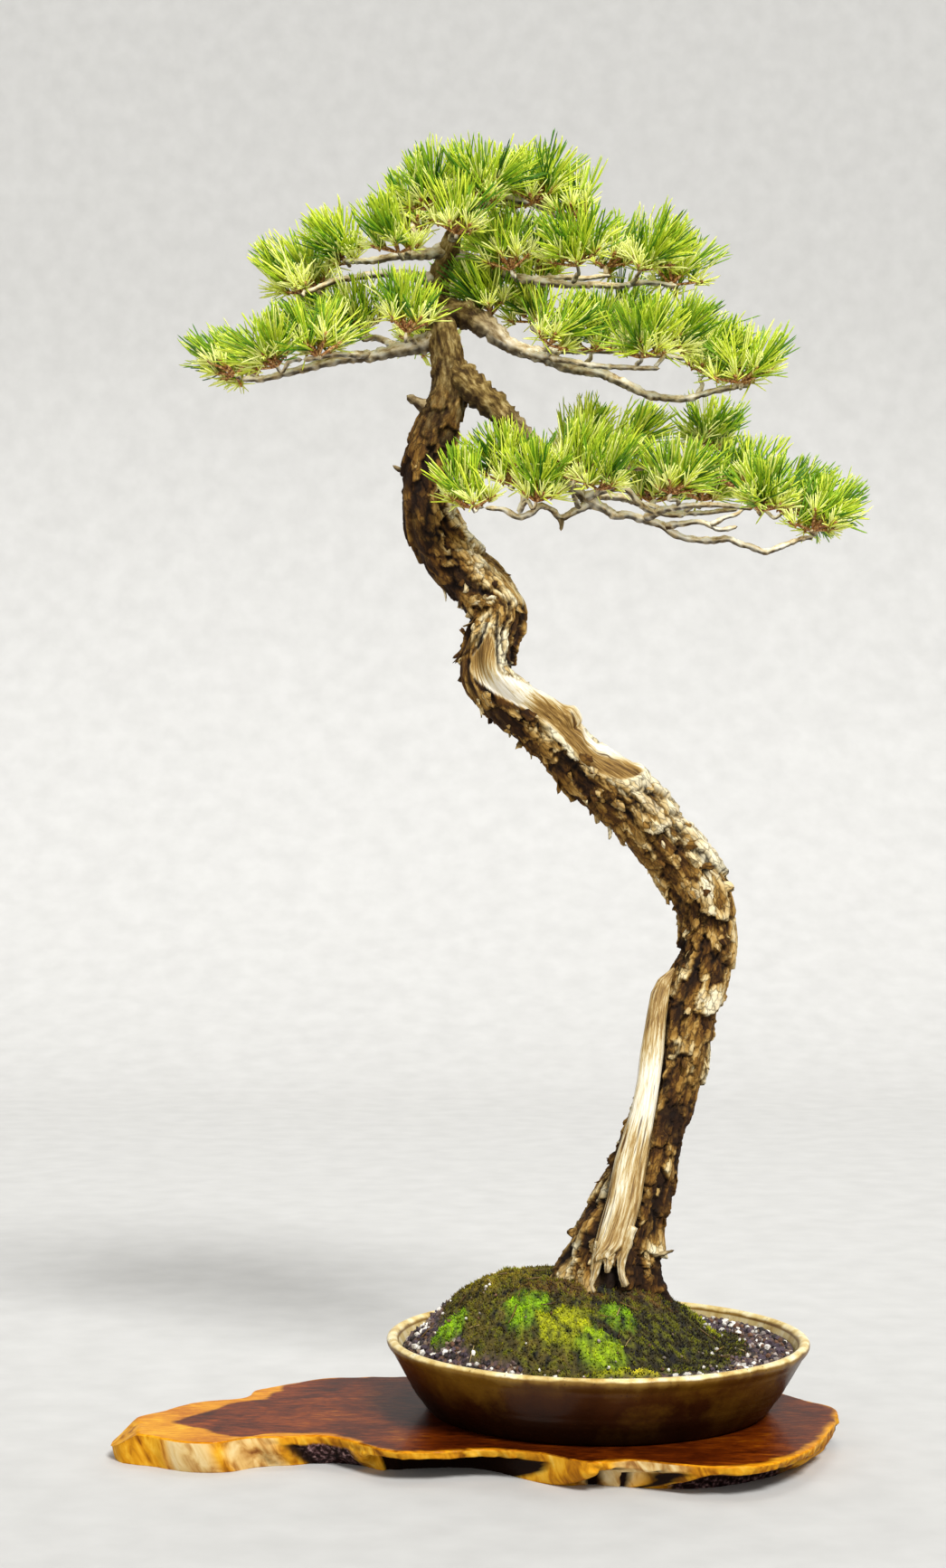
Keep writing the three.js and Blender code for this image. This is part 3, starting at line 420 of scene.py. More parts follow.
shader = node(glaze, "BsdfPrincipled", {
    "Base Color": glazed, "Roughness": gloss, "IOR": 1.5,
    "Specular IOR Level": 0.1, "Coat Weight": 0.12, "Coat Roughness": 0.15, "Normal": bump})
node(glaze, "OutputMaterial", {0: shader})
bowl.data.materials.append(glaze)
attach(bowl, "root")
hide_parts("pot")

# The drainage screens: squares of black moulded polyethylene mesh that lie over the holes in the
# bowl's floor and keep the grit in. They are the solids of the model, with a new finish.
# Moulded polyethylene: black and even, with a dull sheen.
plastic = new_material("moulded_polyethylene_mesh")
place = node(plastic, "TexCoord").outputs["Object"]
flow = node(plastic, "TexNoise", {"Vector": place, "Scale": 300, "Detail": 3})
tone = node(plastic, "ValToRGB", {0: flow}, stops=[(0.3, "1c1c1b"), (0.7, "32322f")])
bump = node(plastic, "Bump", {"Strength": 0.2, "Distance": 0.0002, "Height": flow})
shader = node(plastic, "BsdfPrincipled", {"Base Color": tone, "Roughness": 0.55, "Normal": bump})
node(plastic, "OutputMaterial", {0: shader})
for screen in ("drainage_screen_1", "drainage_screen_2"):
    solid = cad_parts[screen]
    solid.data.materials.clear()
    solid.data.materials.append(plastic)

# The soil: sharp grit of purple-grey lava, baked clay and white pumice fills the bowl, mounded up
# to the roots and dressed with moss. It is one body with loose stones and moss shoots on it.
SOIL_EDGE = 38
MOUND_RISE = 42
MOUND_REACH = 98
MOUND_TOP = (-22, 4)
SOIL_AROUND = 220
SOIL_RADIUS = 120.6
BRIM_HEIGHT = 62.5  # of the grit against the wall, above the table
# Patches of moss on the mound: x, y, half widths, how high it cushions, and its kind.
MOSS_PATCHES = [
    (-44, -50, 14, 19, 3.4, "bright"), (9, -55, 11, 10, 3.2, "bright"),
    (-91, -37, 11, 10, 3.0, "bright"), (-21, -66, 20, 13, 2.2, "lime"),
    (-2, -80, 15, 12, 4.4, "fresh"), (22, -98, 13, 7, 3.4, "yellow"), (1, -98, 13, 6, 2.8, "lime"),
    (30, 58, 16, 14, 3.2, "bright"), (-60, 48, 20, 16, 2.6, "lime"),
    (-12, 72, 24, 12, 2.4, "olive"), (66, 22, 12, 16, 2.6, "lime"),
    (-62, 4, 26, 26, 1.6, "olive"), (-24, -30, 30, 12, 1.4, "rust"),
    (28, -22, 16, 10, 1.5, "rust"),
]
MOSS_TONES = {
    "bright": "6a8c02", "fresh": "748a04", "lime": "828404", "yellow": "a49a20",
    "olive": "645614", "rust": "4c3612", "deep": "483e10", "dusk": "282208"}
MOSS_TONES = {kind: np.array(srgb(tone)) for kind, tone in MOSS_TONES.items()}


def soil_height(x, y):
    """The height of the bare mound at x, y."""
    share = np.minimum(1, np.hypot(x - MOUND_TOP[0], y - MOUND_TOP[1]) / MOUND_REACH)
    ripple = 1.1 * np.sin(0.09 * x + 1) * np.cos(0.11 * y)
    return SLAB_THICKNESS + SOIL_EDGE + MOUND_RISE * (1 - share ** 3) ** 1.2 + ripple * (1 - share)


def ground(x, y):
    """The top of soil and moss at x, y: its height, how far it is moss, and the moss colour."""
    x, y = np.asarray(x, float), np.asarray(y, float)
    spots = np.column_stack([x, y, 0 * x])
    bearing = np.arctan2(y, x)
    reach = np.hypot(x, y)
    lobed = np.column_stack([np.cos(bearing), np.sin(bearing), 0 * x])
    limit = 93 + 9 * noise_at(lobed, 0.5, octaves=3, seed=20) + 8 * np.cos(bearing + 1.75)
    mossy = 1 - smooth_step(limit - 3, limit + 3, reach + 2.5 * noise_at(spots, 6, seed=21))
    shade = noise_at(spots, 19, octaves=3, seed=22)[:, None]
    shade = smooth_step(-0.25, 0.3, shade + 0.012 * (x + 10)[:, None])
    colour = MOSS_TONES["deep"] * (1 - shade) + MOSS_TONES["dusk"] * shade
    lift = 1.6 + 2.2 * noise_at(spots, 10, octaves=3, seed=23)
    wisps = noise_at(spots, 7, octaves=3, seed=24)
    lift -= 4 * window(-10, 22, 4, x) * window(-40, -24, 4, y)
    cover = mossy.copy()
    for px, py, wide, deep, rise, kind in MOSS_PATCHES:
        away = np.hypot((x - px) / wide, (y - py) / deep) + 0.34 * wisps
        part = 1 - smooth_step(0.78, 1.12, away)
        lift = lift + part * rise * np.sqrt(np.clip(1.1 - away ** 2, 0, 1))
        colour = colour * (1 - part[:, None]) + MOSS_TONES[kind] * part[:, None]
        # Painted shade: each patch darkens towards its edge, in the dips between cushions.
        colour = colour * (1 - 1.6 * part * (1 - part))[:, None]
        cover = np.maximum(cover, part)
    fleck = noise_at(spots, 4.2, octaves=3, seed=28)[:, None]
    colour = colour * np.array([1, 1, 1, 0]) * (0.95 + 1.2 * fleck) + [0, 0, 0, 1]
    sprig = 0.4 * smooth_step(0.12, 0.4, noise_at(spots, 3.2, octaves=2, seed=29))[:, None]
    colour = colour * (1 - sprig) + MOSS_TONES["lime"] * sprig
    colour = np.clip(colour, 0.003, 1)
    grit = 0.7 * noise_at(spots, 2.6, seed=25) + 0.35 * noise_at(spots, 1.2, seed=26)
    tuft = 0.5 * noise_at(spots, 1.7, seed=27)
    height = soil_height(x, y) + cover * (lift + tuft) + (1 - cover) * grit
    height = np.minimum(height, BRIM_HEIGHT + 60 * smooth_step(114, 70, reach) + 0.8 * cover)
    return height, cover, colour


soil_rings = np.r_[np.linspace(0, 88, 50), np.linspace(89.2, SOIL_RADIUS, 25)]
soil_side = [(120.2, 37.4), (118.2, 33), (111.2, 21), (104.3, 12.8), (96.6, 8.2), (50, 8.2), (0, 8.2)]


def place_soil(turn, row):
    """The soil's points, from the top of the mound down its side to the bowl's floor."""
    angle = 2 * math.pi * turn
    top = row < len(soil_rings)
    side = np.array([*np.zeros((len(soil_rings), 2)), *soil_side])[row]
    radius = np.where(top, soil_rings[np.minimum(row, len(soil_rings) - 1)], side[:, 0])
    x, y = radius * np.cos(angle), radius * np.sin(angle)
    height, cover, colour = ground(x, y)
    height = np.where(top, height, BOWL_BOTTOM + side[:, 1])
    cover = np.where(top, cover, 0.0)
    return np.column_stack([x, y, height]), {"moss": cover, "tint": colour}


soil = rolled("soil_with_moss", SOIL_AROUND, len(soil_rings) + len(soil_side) - 1, place_soil)

# Damp grit and moss: matt and broken up, with no clear shine. The moss colour is kept on the mesh.
earth = new_material("grit_and_moss")
place = node(earth, "TexCoord").outputs["Object"]
grains = node(earth, "TexVoronoi", {"Vector": place, "Scale": 520})
grit_tone = node(earth, "ValToRGB", {0: grains.outputs["Color"]}, stops=[
    (0.15, "17110e"), (0.4, "3a2c26"), (0.6, "54424a"), (0.8, "6b4f3a"), (0.97, "b8aca0")])
fuzz = node(earth, "TexNoise", {"Vector": place, "Scale": 700, "Detail": 4})
fuzz_range = node(earth, "MapRange", {0: fuzz, 1: 0.3, 2: 0.7, 3: 0.45, 4: 1.5})
tint = node(earth, "Attribute", attribute_name="tint").outputs["Color"]
mossy = node(earth, "VectorMath", {0: tint, 1: fuzz_range}, operation="MULTIPLY")
cover = node(earth, "Attribute", attribute_name="moss").outputs["Fac"]
soil_colour = node(earth, "Mix", {0: cover, 6: grit_tone, 7: mossy}, data_type="RGBA")
bump = node(earth, "Bump", {"Strength": 0.7, "Distance": 0.0012, "Height": fuzz})
shader = node(earth, "BsdfPrincipled", {"Base Color": soil_colour, "Roughness": 0.92, "Normal": bump})
node(earth, "OutputMaterial", {0: shader})
soil.data.materials.append(earth)
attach(soil, "root")
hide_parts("soil")


def pattern_of(piece):
    """The corners and triangles of a small modelled shape, which is then taken away."""
    corners = np.array([corner.co for corner in piece.data.vertices])
    piece.data.calc_loop_triangles()
    faces = np.array([face.vertices for face in piece.data.loop_triangles])
    bpy.data.objects.remove(piece)
    return corners, faces


def added(name, data):
    """A new object with the given data, added to the scene."""
    made = bpy.data.objects.new(name, data)
    bpy.context.scene.collection.objects.link(made)
    return made


def mesh_of(name, points, faces):
    """A new piece with the given corners, in mm, and triangles."""
    mesh = bpy.data.meshes.new(name)
    mesh.from_pydata((points * MM).tolist(), [], faces.tolist())
    return added(name, mesh)


def fused(name, faces, points, stored):
    """One piece made of copies of a pattern: points holds each copy's own corners, in mm, and
    stored what each copy's corners keep for the material."""
    copies, corners = points.shape[:2]
    every = (faces[None] + corners * np.arange(copies)[:, None, None]).reshape(-1, 3)
    piece = mesh_of(name, points.reshape(-1, 3), every)
    for key, values in stored.items():
        values = np.asarray(values)
        keep(piece, key, values.reshape(copies * corners, *values.shape[2:]))
    select_only(piece)
    bpy.ops.object.shade_smooth()
    return piece


def strewn(rng, count, reach, inner):
    """Points strewn evenly over the mound, as x and y, out to the given reach. The inner share
    of that area is left free."""
    angle = rng.uniform(0, 2 * math.pi, count)
    radius = reach * np.sqrt(rng.uniform(inner, 1, count))
    return np.column_stack([radius * np.cos(angle), radius * np.sin(angle)])


def turned_about(axis):
    """Two unit vectors square to each axis and to each other."""
    axis = axis / np.linalg.norm(axis, axis=1, keepdims=True)
    other = np.where(np.abs(axis[:, 2:]) < 0.9, [[0.0, 0, 1]], [[1.0, 0, 0]])
    one = np.cross(axis, other)
    one /= np.linalg.norm(one, axis=1, keepdims=True)
    return one, np.cross(axis, one)


# The loose stones: chips of crushed lava, fired clay and pumice, 2 to 5 mm across. They lie on the
# grit and among the moss, thickest round the rim.
STONES = 1500
STONE_SPOTS = 9000  # drawn, of which the mossy ones are mostly passed over
STONES_REACH = 118.2
STONE_TONES = ["3c3038", "4d3f48", "5e4a44", "2c2422", "6b4a34", "84705c", "d8d2c6", "efeadf", "9a8d86"]
STONE_SHARES = [0.19, 0.16, 0.13, 0.14, 0.09, 0.08, 0.07, 0.07, 0.07]
bpy.ops.object.select_all(action="DESELECT")
bpy.ops.mesh.primitive_ico_sphere_add(subdivisions=1, radius=1)
stone_corners, stone_faces = pattern_of(bpy.context.object)
rng = np.random.default_rng(7)
spots = strewn(rng, STONE_SPOTS, STONES_REACH, 0.28)
height, cover, _ = ground(*spots.T)
wanted = rng.uniform(0, 1, STONE_SPOTS) > cover * 0.955
spots, height = spots[wanted][:STONES], height[wanted][:STONES]
count = len(spots)
size = rng.uniform(0.95, 2.3, count) * np.where(rng.uniform(0, 1, count) < 0.12, 1.25, 1)
size = np.minimum(size, 1 + (118.5 - np.hypot(*spots.T)) * 0.5)
tone = rng.choice(len(STONE_TONES), count, p=STONE_SHARES)
on_moss = cover[wanted][:STONES] > 0.6
tone[on_moss] = rng.integers(4, 9, on_moss.sum())
size = np.where((tone == 6) | (tone == 7), 1.12 * size, size) * np.where(on_moss, 0.6, 1)
axis = rng.normal(size=(count, 3))
one, two = turned_about(axis)
axis /= np.linalg.norm(axis, axis=1, keepdims=True)
ragged = 1 + rng.uniform(-0.28, 0.28, (count, len(stone_corners), 1))
shape = stone_corners[None] * ragged * rng.uniform([0.75, 0.75, 0.55], [1.2, 1.1, 0.85], (count, 1, 3))
points = np.einsum("nmk,nkj->nmj", shape, np.stack([one, two, axis], axis=1)) * size[:, None, None]
points += np.column_stack([spots, height + 0.35 * size + 1.1 * on_moss])[:, None]
colours = np.array([srgb(value) for value in STONE_TONES])[tone]
colours[:, :3] *= rng.uniform(0.75, 1.25, (count, 1))
colours = np.repeat(colours[:, None], len(stone_corners), axis=1)
stones = fused("loose_stones", stone_faces, points, {"tint": colours})
for polygon in stones.data.polygons:
    polygon.use_smooth = False

# Crushed lava and pumice: rough, matt and pitted, so each chip shows its own tone and no shine.
crushed = new_material("crushed_lava_and_pumice")
place = node(crushed, "TexCoord").outputs["Object"]
pits = node(crushed, "TexNoise", {"Vector": place, "Scale": 1500, "Detail": 4})
pitted = node(crushed, "MapRange", {0: pits, 1: 0.3, 2: 0.7, 3: 0.6, 4: 1.3})
tint = node(crushed, "Attribute", attribute_name="tint").outputs["Color"]
stone_colour = node(crushed, "VectorMath", {0: tint, 1: pitted}, operation="MULTIPLY")
bump = node(crushed, "Bump", {"Strength": 0.5, "Distance": 0.0004, "Height": pits})
shader = node(crushed, "BsdfPrincipled", {"Base Color": stone_colour, "Roughness": 0.8, "Normal": bump})
node(crushed, "OutputMaterial", {0: shader})
stones.data.materials.append(crushed)
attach(stones, "root")

# The moss shoots: each cushion is thousands of leafy tips 1.5 to 3 mm tall. Each is drawn as one
# slim spike, coarser than life so that it shows.
MOSS_SHOOTS = 17000
MOSS_SPOTS = 60000  # drawn, of which those on moss are kept
MOSS_REACH = 116
FOOT_PLACE, FOOT_RADIUS = (6, 2), 23  # of the trunk, where no shoots stand
bpy.ops.object.select_all(action="DESELECT")
bpy.ops.mesh.primitive_cone_add(vertices=3, radius1=1, radius2=0, depth=1, location=(0, 0, 0.5))
shoot_corners, shoot_faces = pattern_of(bpy.context.object)
shoot_corners[:, 2] += 0.5
spots = strewn(rng, MOSS_SPOTS, MOSS_REACH, 0)
height, cover, colour = ground(*spots.T)
under_trunk = np.hypot(*(spots - FOOT_PLACE).T) < FOOT_RADIUS
kept = (rng.uniform(0, 1, MOSS_SPOTS) < cover ** 2) & ~under_trunk
spots, height, colour = [part[kept][:MOSS_SHOOTS] for part in (spots, height, colour)]
count = len(spots)
lean = np.column_stack([rng.normal(0, 0.4, (count, 2)), np.ones(count)])
lean += np.column_stack([spots - MOUND_TOP, np.zeros(count)]) * 0.004
one, two = turned_about(lean)
length = rng.uniform(1.3, 2.9, count)[:, None, None]
thick = rng.uniform(0.4, 0.75, count)[:, None, None]
up = shoot_corners[None, :, 2:] * length * (lean / np.linalg.norm(lean, axis=1, keepdims=True))[:, None]
about = shoot_corners[None, :, :1] * one[:, None] + shoot_corners[None, :, 1:2] * two[:, None]
points = up + thick * about
points += np.column_stack([spots, height - 0.5])[:, None]
# Painted light and shade: each shoot is darker at its foot, down in the cushion, and lighter at its tip.
tones = colour[:, None] * rng.uniform(0.55, 1.5, (count, 1, 1)) * (0.5 + 1.1 * shoot_corners[None, :, 2:])
tones[:, :, 3] = 1
moss = fused("moss_shoots", shoot_faces, points, {"tint": tones})

# Living moss: soft and matt, with a tone that changes from tip to tip.
leafy = new_material("living_moss")
place = node(leafy, "TexCoord").outputs["Object"]
mottle = node(leafy, "TexNoise", {"Vector": place, "Scale": 900, "Detail": 3})
mottled = node(leafy, "MapRange", {0: mottle, 1: 0.3, 2: 0.7, 3: 0.75, 4: 1.25})
tint = node(leafy, "Attribute", attribute_name="tint").outputs["Color"]
moss_colour = node(leafy, "VectorMath", {0: tint, 1: mottled}, operation="MULTIPLY")
shader = node(leafy, "BsdfPrincipled", {
    "Base Color": moss_colour, "Roughness": 0.75, "Specular IOR Level": 0.15})
node(leafy, "OutputMaterial", {0: shader})
moss.data.materials.append(leafy)
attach(moss, "root")

# The trunk: one old stem that leans, doubles back and rises to the crown, with its root flare. It
# is live pine wood in thick bark that has cracked into grey and tan plates over orange-brown
# layers. One strip at the bend has lost its bark and weathered to bare wood.
# Its middle line from under the soil to the tip: x, y, z, radius.
TRUNK = [
    (4, 2, 74, 26), (5, 2, 90, 30.5), (7, 2, 102, 30), (10, 2, 120, 26.5), (17, 3, 138, 23.5),
    (24, 4, 157, 22), (31, 5, 177, 20), (38, 6, 197, 18), (45, 7, 217, 18),
    (50, 9, 238, 19), (54, 11, 258, 19.8), (61, 13, 278, 18.6), (68, 14, 297, 17),
    (70, 15, 318, 17), (65, 12, 339, 18.6), (53, 9, 358, 19.4), (38, 5, 375, 19),
    (24, 1, 391, 19.6), (8, -3, 404, 20.2), (-8, -6, 416, 19.6), (-22, -10, 430, 18.6),
    (-38, -14, 444, 17), (-55, -17, 456, 15.8), (-67, -17, 472, 16.4), (-66, -10, 491, 16),
    (-62, 1, 511, 17.2), (-74, 8, 529, 17.5), (-90, 10, 546, 18), (-101, 9, 564, 18),
    (-106, 7, 585, 16.4), (-105, 3, 606, 15), (-99, 0, 626, 14.2), (-93, -3, 645, 11.8),
    (-93, -5, 664, 10.4), (-96, -6, 680, 9.8),
    (-99, 4, 695, 9), (-100, 13, 709, 8), (-97, 13, 724, 7), (-91, 5, 740, 5.6),
    (-84, -1, 760, 4), (-74, 0, 776, 2.2),
]
# Four roots at the foot, and the two crests of bare wood at the bend, which swell the trunk.
SWELLINGS = [
    [(2, 0, 132, 13), (-12, -3, 112, 12), (-23, -5, 97, 10), (-33, -7, 82, 6)],
    [(20, 2, 130, 13), (28, 2, 112, 11), (33, 2, 96, 9), (40, 3, 81, 6)],
    [(12, -4, 112, 9), (9, -13, 98, 8), (5, -24, 88, 6), (3, -33, 80, 4)],
    [(12, 12, 124, 12), (12, 22, 106, 11), (12, 28, 94, 9), (12, 36, 81, 5)],
    [(-69, -25, 500, 4), (-67, -31, 480, 6), (-54, -30, 465, 7.5), (-36, -25, 454, 8.5),
     (-21, -20, 447, 8.5), (-15, -17, 446, 6)],
    [(6, -14, 413, 7), (13, -13, 413.5, 8.5), (21, -12, 411, 8.5), (25, -11, 408, 6)],
]
# The bare strip seen from the front: its crest and its lower lip, as x and z.
BARE_CREST = [
    (-67, 498), (-64, 493), (-62, 486), (-62, 479), (-60, 473), (-52, 470), (-41, 466), (-31, 464),
    (-22, 462), (-13, 461), (-6, 450), (-2, 440), (3, 432), (9, 428), (17, 427), (26, 424), (29, 416),
]
BARE_LIP = [
    (-69, 496), (-73, 490), (-78, 483), (-80, 476), (-77, 469), (-69, 463), (-60, 457.5), (-49, 452),
    (-39, 445.5), (-30, 440), (-23, 433.5), (-17, 426), (-11, 418.5), (-3, 412), (7, 408),
    (16, 407), (26, 411),
]
BARE_FROM, BARE_TO = 385, 520  # heights between which the strip lies
BARE_KNOT = (-14, 454)
BARE_SPLITS = [[(-67, 508), (-70, 498), (-74, 489)], [(-62, 510), (-62.5, 496), (-62, 486), (-61.5, 473)]]
# The way the painted light on the bark comes from: up, to the right and to the front.
PAINTED_LIGHT_WAY = np.array([0.35, -0.25, 0.9])
# The lower plank seen from the front: its left and right edges at each height, as x.
PLANK_LEVELS = np.array([113, 122, 134, 150, 174, 193, 205, 222, 239, 259, 276, 284, 291.5])
PLANK_LEFT = np.array([-4.6, -3.1, 0.1, 5.0, 10.0, 16.3, 20.5, 24.0, 26.1, 29.9, 33.2, 37.5, 46.5])
PLANK_RIGHT = np.array([10.0, 17.0, 21.9, 26.4, 30.3, 33.5, 35.6, 38.5, 40.9, 42.3, 44.4, 46.0, 48.0])
TRUNK_AROUND, TRUNK_ROWS = 108, 880
SWELLING_NEAR = 62  # how far from the middle line a swelling can still show
YOUNG_FROM, YOUNG_TO = 600, 690  # heights between which old bark gives way to young
PLATE_SIZE, FLAKE_SIZE = 9.2, 3.6
PLATE_STRETCH = [1, 1, 0.42]  # plates and flakes are longer along the stem than round it
CHANNEL_DEPTH = 3.4  # of the hollow along the bare strip
SPLIT_DEPTH = 1.6
PLANK_BED = 3.5  # how far the bark is thinned behind the lower plank
CAVE_DEPTH = 8  # of the dark gap between the roots


def outwards_at(angle, front, side):
    """The direction at an angle round a stem, from the directions to its front and its side."""
    return np.cos(angle)[:, None] * front + np.sin(angle)[:, None] * side


def frames_along(line, ease=0):
    """For each point of a line: its direction, and the directions to its front and its side."""
    ahead = np.gradient(line[:, :3], axis=0)
    if ease:
        soft = np.hanning(ease)
        padded = np.pad(ahead, ((ease // 2, ease // 2), (0, 0)), mode="edge")
        ahead = np.column_stack([np.convolve(column, soft, "valid") for column in padded.T])
    ahead /= np.linalg.norm(ahead, axis=1, keepdims=True)
    front = np.array([[0, -1.0, 0]]) + ahead[:, 1:2] * ahead
    front /= np.linalg.norm(front, axis=1, keepdims=True)
    return ahead, front, np.cross(ahead, front)


def cracked(points, size, seed):
    """Cracked plates: how far each point lies from the nearest crack, its plate's own tone, and
    where it lies on its plate, from one end to the other."""
    spots = points / size + 13.1 * seed
    gaps, sites = [], []
    for spot in spots.tolist():
        near, middles = noise.voronoi(spot)
        gaps.append(near[1] - near[0])
        sites.append(middles[0])
    sites = np.array(sites)
    tones = np.sin(sites @ [12.99, 78.23, 37.72]) * 43758.5
    return np.array(gaps), tones - np.floor(tones), spots - sites


def away_from(points, outline):
    """The least distance from each point to an open line of points, in the plane."""
    best = np.full(len(points), np.inf)
    for start, end in zip(outline, outline[1:]):
        start, run = np.array(start, float), np.subtract(end, start)
        share = np.clip((points - start) @ run / (run @ run), 0, 1)
        best = np.minimum(best, np.linalg.norm(points - start - share[:, None] * run, axis=1))
    return best


def is_inside(points, outline):
    """Whether each point lies inside a closed outline in the plane."""
    inside = np.zeros(len(points), bool)
    for (x0, y0), (x1, y1) in zip(outline, [*outline[1:], outline[0]]):
        spans = (y0 > points[:, 1]) != (y1 > points[:, 1])
        cut = x0 + (points[:, 1] - y0) * (x1 - x0) / (y1 - y0 if y1 != y0 else 1)
        inside ^= spans & (points[:, 0] < cut)
    return inside


def bark_relief(coat, seed=30):
    """How far old bark stands out, how deep and dark its cracks are, with painted shade added in its
    grooves and low places, and how light its plates are, for points of the unrolled surface in mm.
    Plates are longer along the stem than round it, and each is tilted, so that its lower end stands
    off like a shingle."""
    bent = np.column_stack([noise_at(coat, 7, octaves=2, seed=seed + k) for k in range(3)])
    warped = coat + 2.6 * bent
    plate_gap, plate_tone, on_plate = cracked(warped * PLATE_STRETCH, PLATE_SIZE, seed)
    _, flake_tone, on_flake = cracked(warped * PLATE_STRETCH, FLAKE_SIZE, seed + 1)
    ropes = noise_at(coat * [1, 1, 0.16], 11, octaves=2, seed=seed + 4)
    crease = 1 - smooth_step(0.02, 0.16, np.abs(noise_at(warped * [1, 1, 0.3], 11, seed=seed + 5)))
    crease *= smooth_step(0.0, 0.5, noise_at(coat, 34, seed=seed + 6))
    edge = 1 - smooth_step(0.0, 0.17, plate_gap)
    stand = 2.8 * (plate_tone - 0.5) - 2.4 * on_plate[:, 2] + 0.5 * (flake_tone - 0.5)
    stand += 2.0 * ropes - 0.4 * on_flake[:, 2] - 2.0 * crease - 1.0 * edge
    # Painted shade: creases, plate edges, the grooves between ropes and the low places get the dark of
    # cracks.
    depth = 0.75 * crease + 0.6 * edge + 0.45 * smooth_step(-0.25, -0.9, ropes) - 0.12 * stand - 0.08
    depth = np.clip(depth, 0, 1)
    tone = 0.5 + 0.07 * stand + 0.4 * (plate_tone - 0.5) + 0.12 * (flake_tone - 0.5)
    return stand, depth, tone


trunk_line = smooth_line(TRUNK, TRUNK_ROWS + 1)
trunk_ahead, trunk_front, trunk_side = frames_along(trunk_line, ease=25)
trunk_walked = np.r_[0, np.cumsum(np.linalg.norm(np.diff(trunk_line[:, :3], axis=0), axis=1))]


def trunk_reach(row, outwards):
    """How far the trunk with its swellings reaches from its middle line in the given directions."""
    middle, plain = trunk_line[row, :3], trunk_line[row, 3]
    reach = plain.copy()
    for limb in SWELLINGS:
        balls = smooth_line(limb, 50)
        near = np.linalg.norm(middle[:, None, ::2] - balls[None, ::5, ::2], axis=2).min(axis=1)
        near = near < SWELLING_NEAR
        apart = balls[None, :, :3] - middle[near][:, None]
        along = np.einsum("nkj,nj->nk", apart, outwards[near])
        miss = np.einsum("nkj,nkj->nk", apart, apart) - along ** 2
        room = balls[None, :, 3] ** 2 - miss
        exit_at = np.where((room > 0) & (along > -5), along + np.sqrt(np.maximum(room, 0)), 0).max(axis=1)
        gap = np.clip(1 - np.abs(exit_at - reach[near]) / 5, 0, 1)
        reach[near] = np.maximum(reach[near], exit_at) + 1.25 * gap ** 2
    return reach


